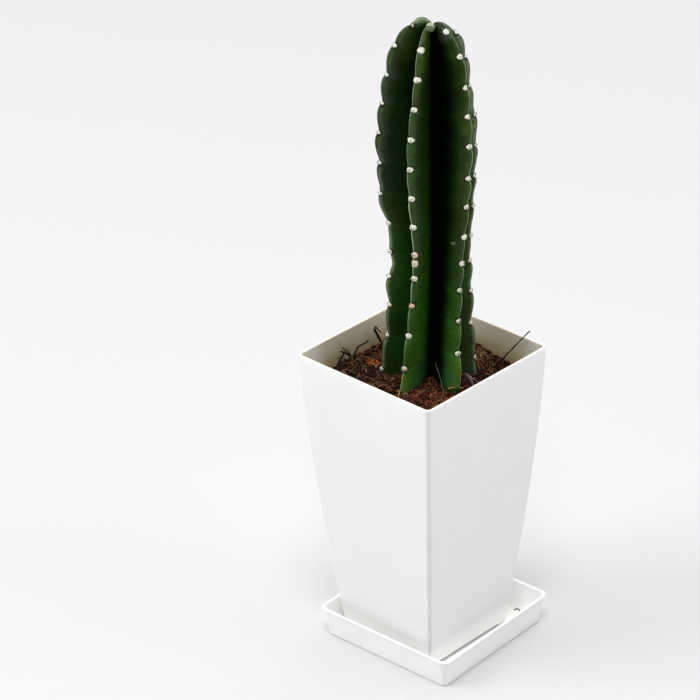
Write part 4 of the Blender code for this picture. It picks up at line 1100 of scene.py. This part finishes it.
def build_saucer():
    def outer(z):
        """Half the saucer's width at a height, without its lip."""
        return SAUCER_BOTTOM_HALF + (SAUCER_TOP_HALF - SAUCER_LIP - SAUCER_BOTTOM_HALF) * z / SAUCER_HEIGHT

    lip = SAUCER_HEIGHT - SAUCER_LIP_HEIGHT
    start, stop, rows = SAUCER_WALL_ROWS
    profile = [(outer(0) - SAUCER_EDGE, 0), (outer(0) - SAUCER_EDGE_STEP[0], SAUCER_EDGE_STEP[1]),
               (outer(SAUCER_EDGE), SAUCER_EDGE)]
    profile += [(outer(z), z) for z in np.linspace(start, lip - stop, rows)]
    profile += [(outer(lip) + SAUCER_LIP * s, lip + SAUCER_LIP * s) for s in (0.5, 1)]
    width = SAUCER_WALL + SAUCER_LIP
    profile += [(SAUCER_TOP_HALF - width / 2 * (1 - cos), SAUCER_HEIGHT - SAUCER_RIM_ROUND * (1 - sin))
                for _, cos, sin in arc(2 * EDGE_STEPS, math.pi)]
    fillet = SAUCER_FLOOR + SAUCER_FILLET
    profile += [(outer(z) - SAUCER_WALL, z) for z in np.linspace(SAUCER_HEIGHT - SAUCER_RIM_DROP, fillet, rows)]
    profile += [(outer(SAUCER_FLOOR) - SAUCER_WALL - SAUCER_FILLET * (1 - cos), fillet - SAUCER_FILLET * sin)
                for _, cos, sin in arc(EDGE_STEPS, math.pi / 2)[1:]]
    cos, sin = math.cos(SAUCER_TURN), math.sin(SAUCER_TURN)
    rings = []
    for half, z in profile:
        radius = max(SAUCER_CORNER - SAUCER_CORNER_TAPER * (SAUCER_TOP_HALF - half), SHARP_CORNER)
        ring = rounded_square(half, radius, z, SIDE_POINTS)
        ring[:, :2] = ring[:, :2] @ np.array(((cos, sin), (-sin, cos))) + SAUCER_SHIFT
        rings.append(ring)
    points = np.vstack(rings)
    paint = np.tile(srgb(*SAUCER_WHITE), (len(points), 1))
    faces = loft_faces(len(rings), len(rings[0]))
    add_piece("saucer_dish", points, faces, plastic("saucer_plastic"), "saucer", paint, SHARP_ANGLE)


def dress_soil():
    """The packed soil stays as it is, hidden under the mulch, with an earthy material."""
    made = new_material("soil", 0.95, 0.2)
    tree = made.node_tree
    dark = node(tree, "ShaderNodeRGB")
    dark.default_value = (*srgb(*SOIL_COLOUR), 1)
    colour = tinted(tree, dark, noise_node(tree, 1.5 * MM), 0.4, 1.6)
    tree.links.new(colour, tree.nodes["Principled BSDF"].inputs["Base Color"])
    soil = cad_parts["potting_soil"]
    soil.data.materials.clear()
    soil.data.materials.append(made)


# Stage

# The room is brightest above, softer all round, and dim on the side of the pot's front corner
ROOM_FRONT = (0.69, -0.707, -0.05)
ROOM_LOW = 0.5
ROOM_HIGH = 1.35
ROOM_DARK = 0.04
FLOOR_REACH = 40.0
FLOOR_GREY = (201, 201, 202)
# Soft lamps: name, place, power in watts and size
LAMPS = [("key", (-2.4, -3, 3.7), 94, 2.4), ("back", (-0.8, 4, 3.6), 20, 2.8),
         ("side", (3.4, 1.6, 2.5), 16, 1.9), ("top", (1.2, -1.4, 4.8), 120, 1.8)]
LAMP_TARGET = (0, 0, 0.2)
# The camera, fitted to the pot's rim and the saucer's corners: its lens, place, and its axes as rows
CAMERA_LENS = 154.286
CAMERA_PLACE = (1.202808, -1.301328, 1.187988)
CAMERA_AXES = ((0.72447519, 0.68887162, -0.02432269), (-0.31390515, 0.3611327, 0.87809267),
               (0.61367683, -0.62852134, 0.47787203))


def build_floor():
    mesh = bpy.data.meshes.new("floor")
    mesh.from_pydata([(x * FLOOR_REACH, y * FLOOR_REACH, 0) for x, y in ((-1, -1), (1, -1), (1, 1), (-1, 1))], [],
                     [(0, 1, 2, 3)])
    made = new_material("floor", 0.9, 0)
    made.node_tree.nodes["Principled BSDF"].inputs["Base Color"].default_value = (*srgb(*FLOOR_GREY), 1)
    mesh.materials.append(made)
    floor = add_object("floor", mesh)
    floor.location.z = -0.1 * MM


def light_room():
    world = bpy.data.worlds.new("studio")
    world.use_nodes = True
    tree = world.node_tree
    background = tree.nodes["Background"]
    background.inputs[0].default_value = (1.0, 1.0, 1.0, 1.0)
    sky = node(tree, "ShaderNodeTexCoord", output="Generated")
    front = node(tree, "ShaderNodeVectorMath", {0: sky, 1: ROOM_FRONT}, "Value", operation="DOT_PRODUCT")
    ends = {"Value": front, "From Min": 0.1, "From Max": 0.9, "To Min": 1, "To Max": ROOM_DARK}
    share = node(tree, "ShaderNodeMapRange", ends, interpolation_type="SMOOTHSTEP")
    rise = node(tree, "ShaderNodeSeparateXYZ", {0: sky}, "Z")
    level = node(tree, "ShaderNodeMapRange", {"Value": rise, "To Min": ROOM_LOW, "To Max": ROOM_HIGH})
    strength = node(tree, "ShaderNodeMath", {0: share, 1: level}, operation="MULTIPLY")
    tree.links.new(strength, background.inputs[1])
    bpy.context.scene.world = world
    for name, place, power, size in LAMPS:
        data = bpy.data.lights.new(name, "AREA")
        data.energy = power
        data.size = size
        lamp = add_object(name, data)
        lamp.location = place
        lamp.rotation_euler = (Vector(LAMP_TARGET) - Vector(place)).to_track_quat("-Z", "Y").to_euler()
    view = bpy.context.scene.view_settings
    view.view_transform = "Standard"
    view.look = "None"
    view.exposure = 0.0
    view.gamma = 1.0


def build_camera():
    data = bpy.data.cameras.new("camera")
    data.lens = CAMERA_LENS
    data.sensor_width = 36.0
    data.clip_start = 0.01
    camera = add_object("camera", data)
    camera.matrix_world = Matrix.Translation(CAMERA_PLACE) @ Matrix(CAMERA_AXES).transposed().to_4x4()
    bpy.context.scene.camera = camera


stem = Stem()
build_saucer()
build_pot()
dress_soil()
build_mulch(stem)
build_skin(stem)
build_wool(stem)
build_floor()
light_room()
build_camera()

bpy.context.view_layer.update()
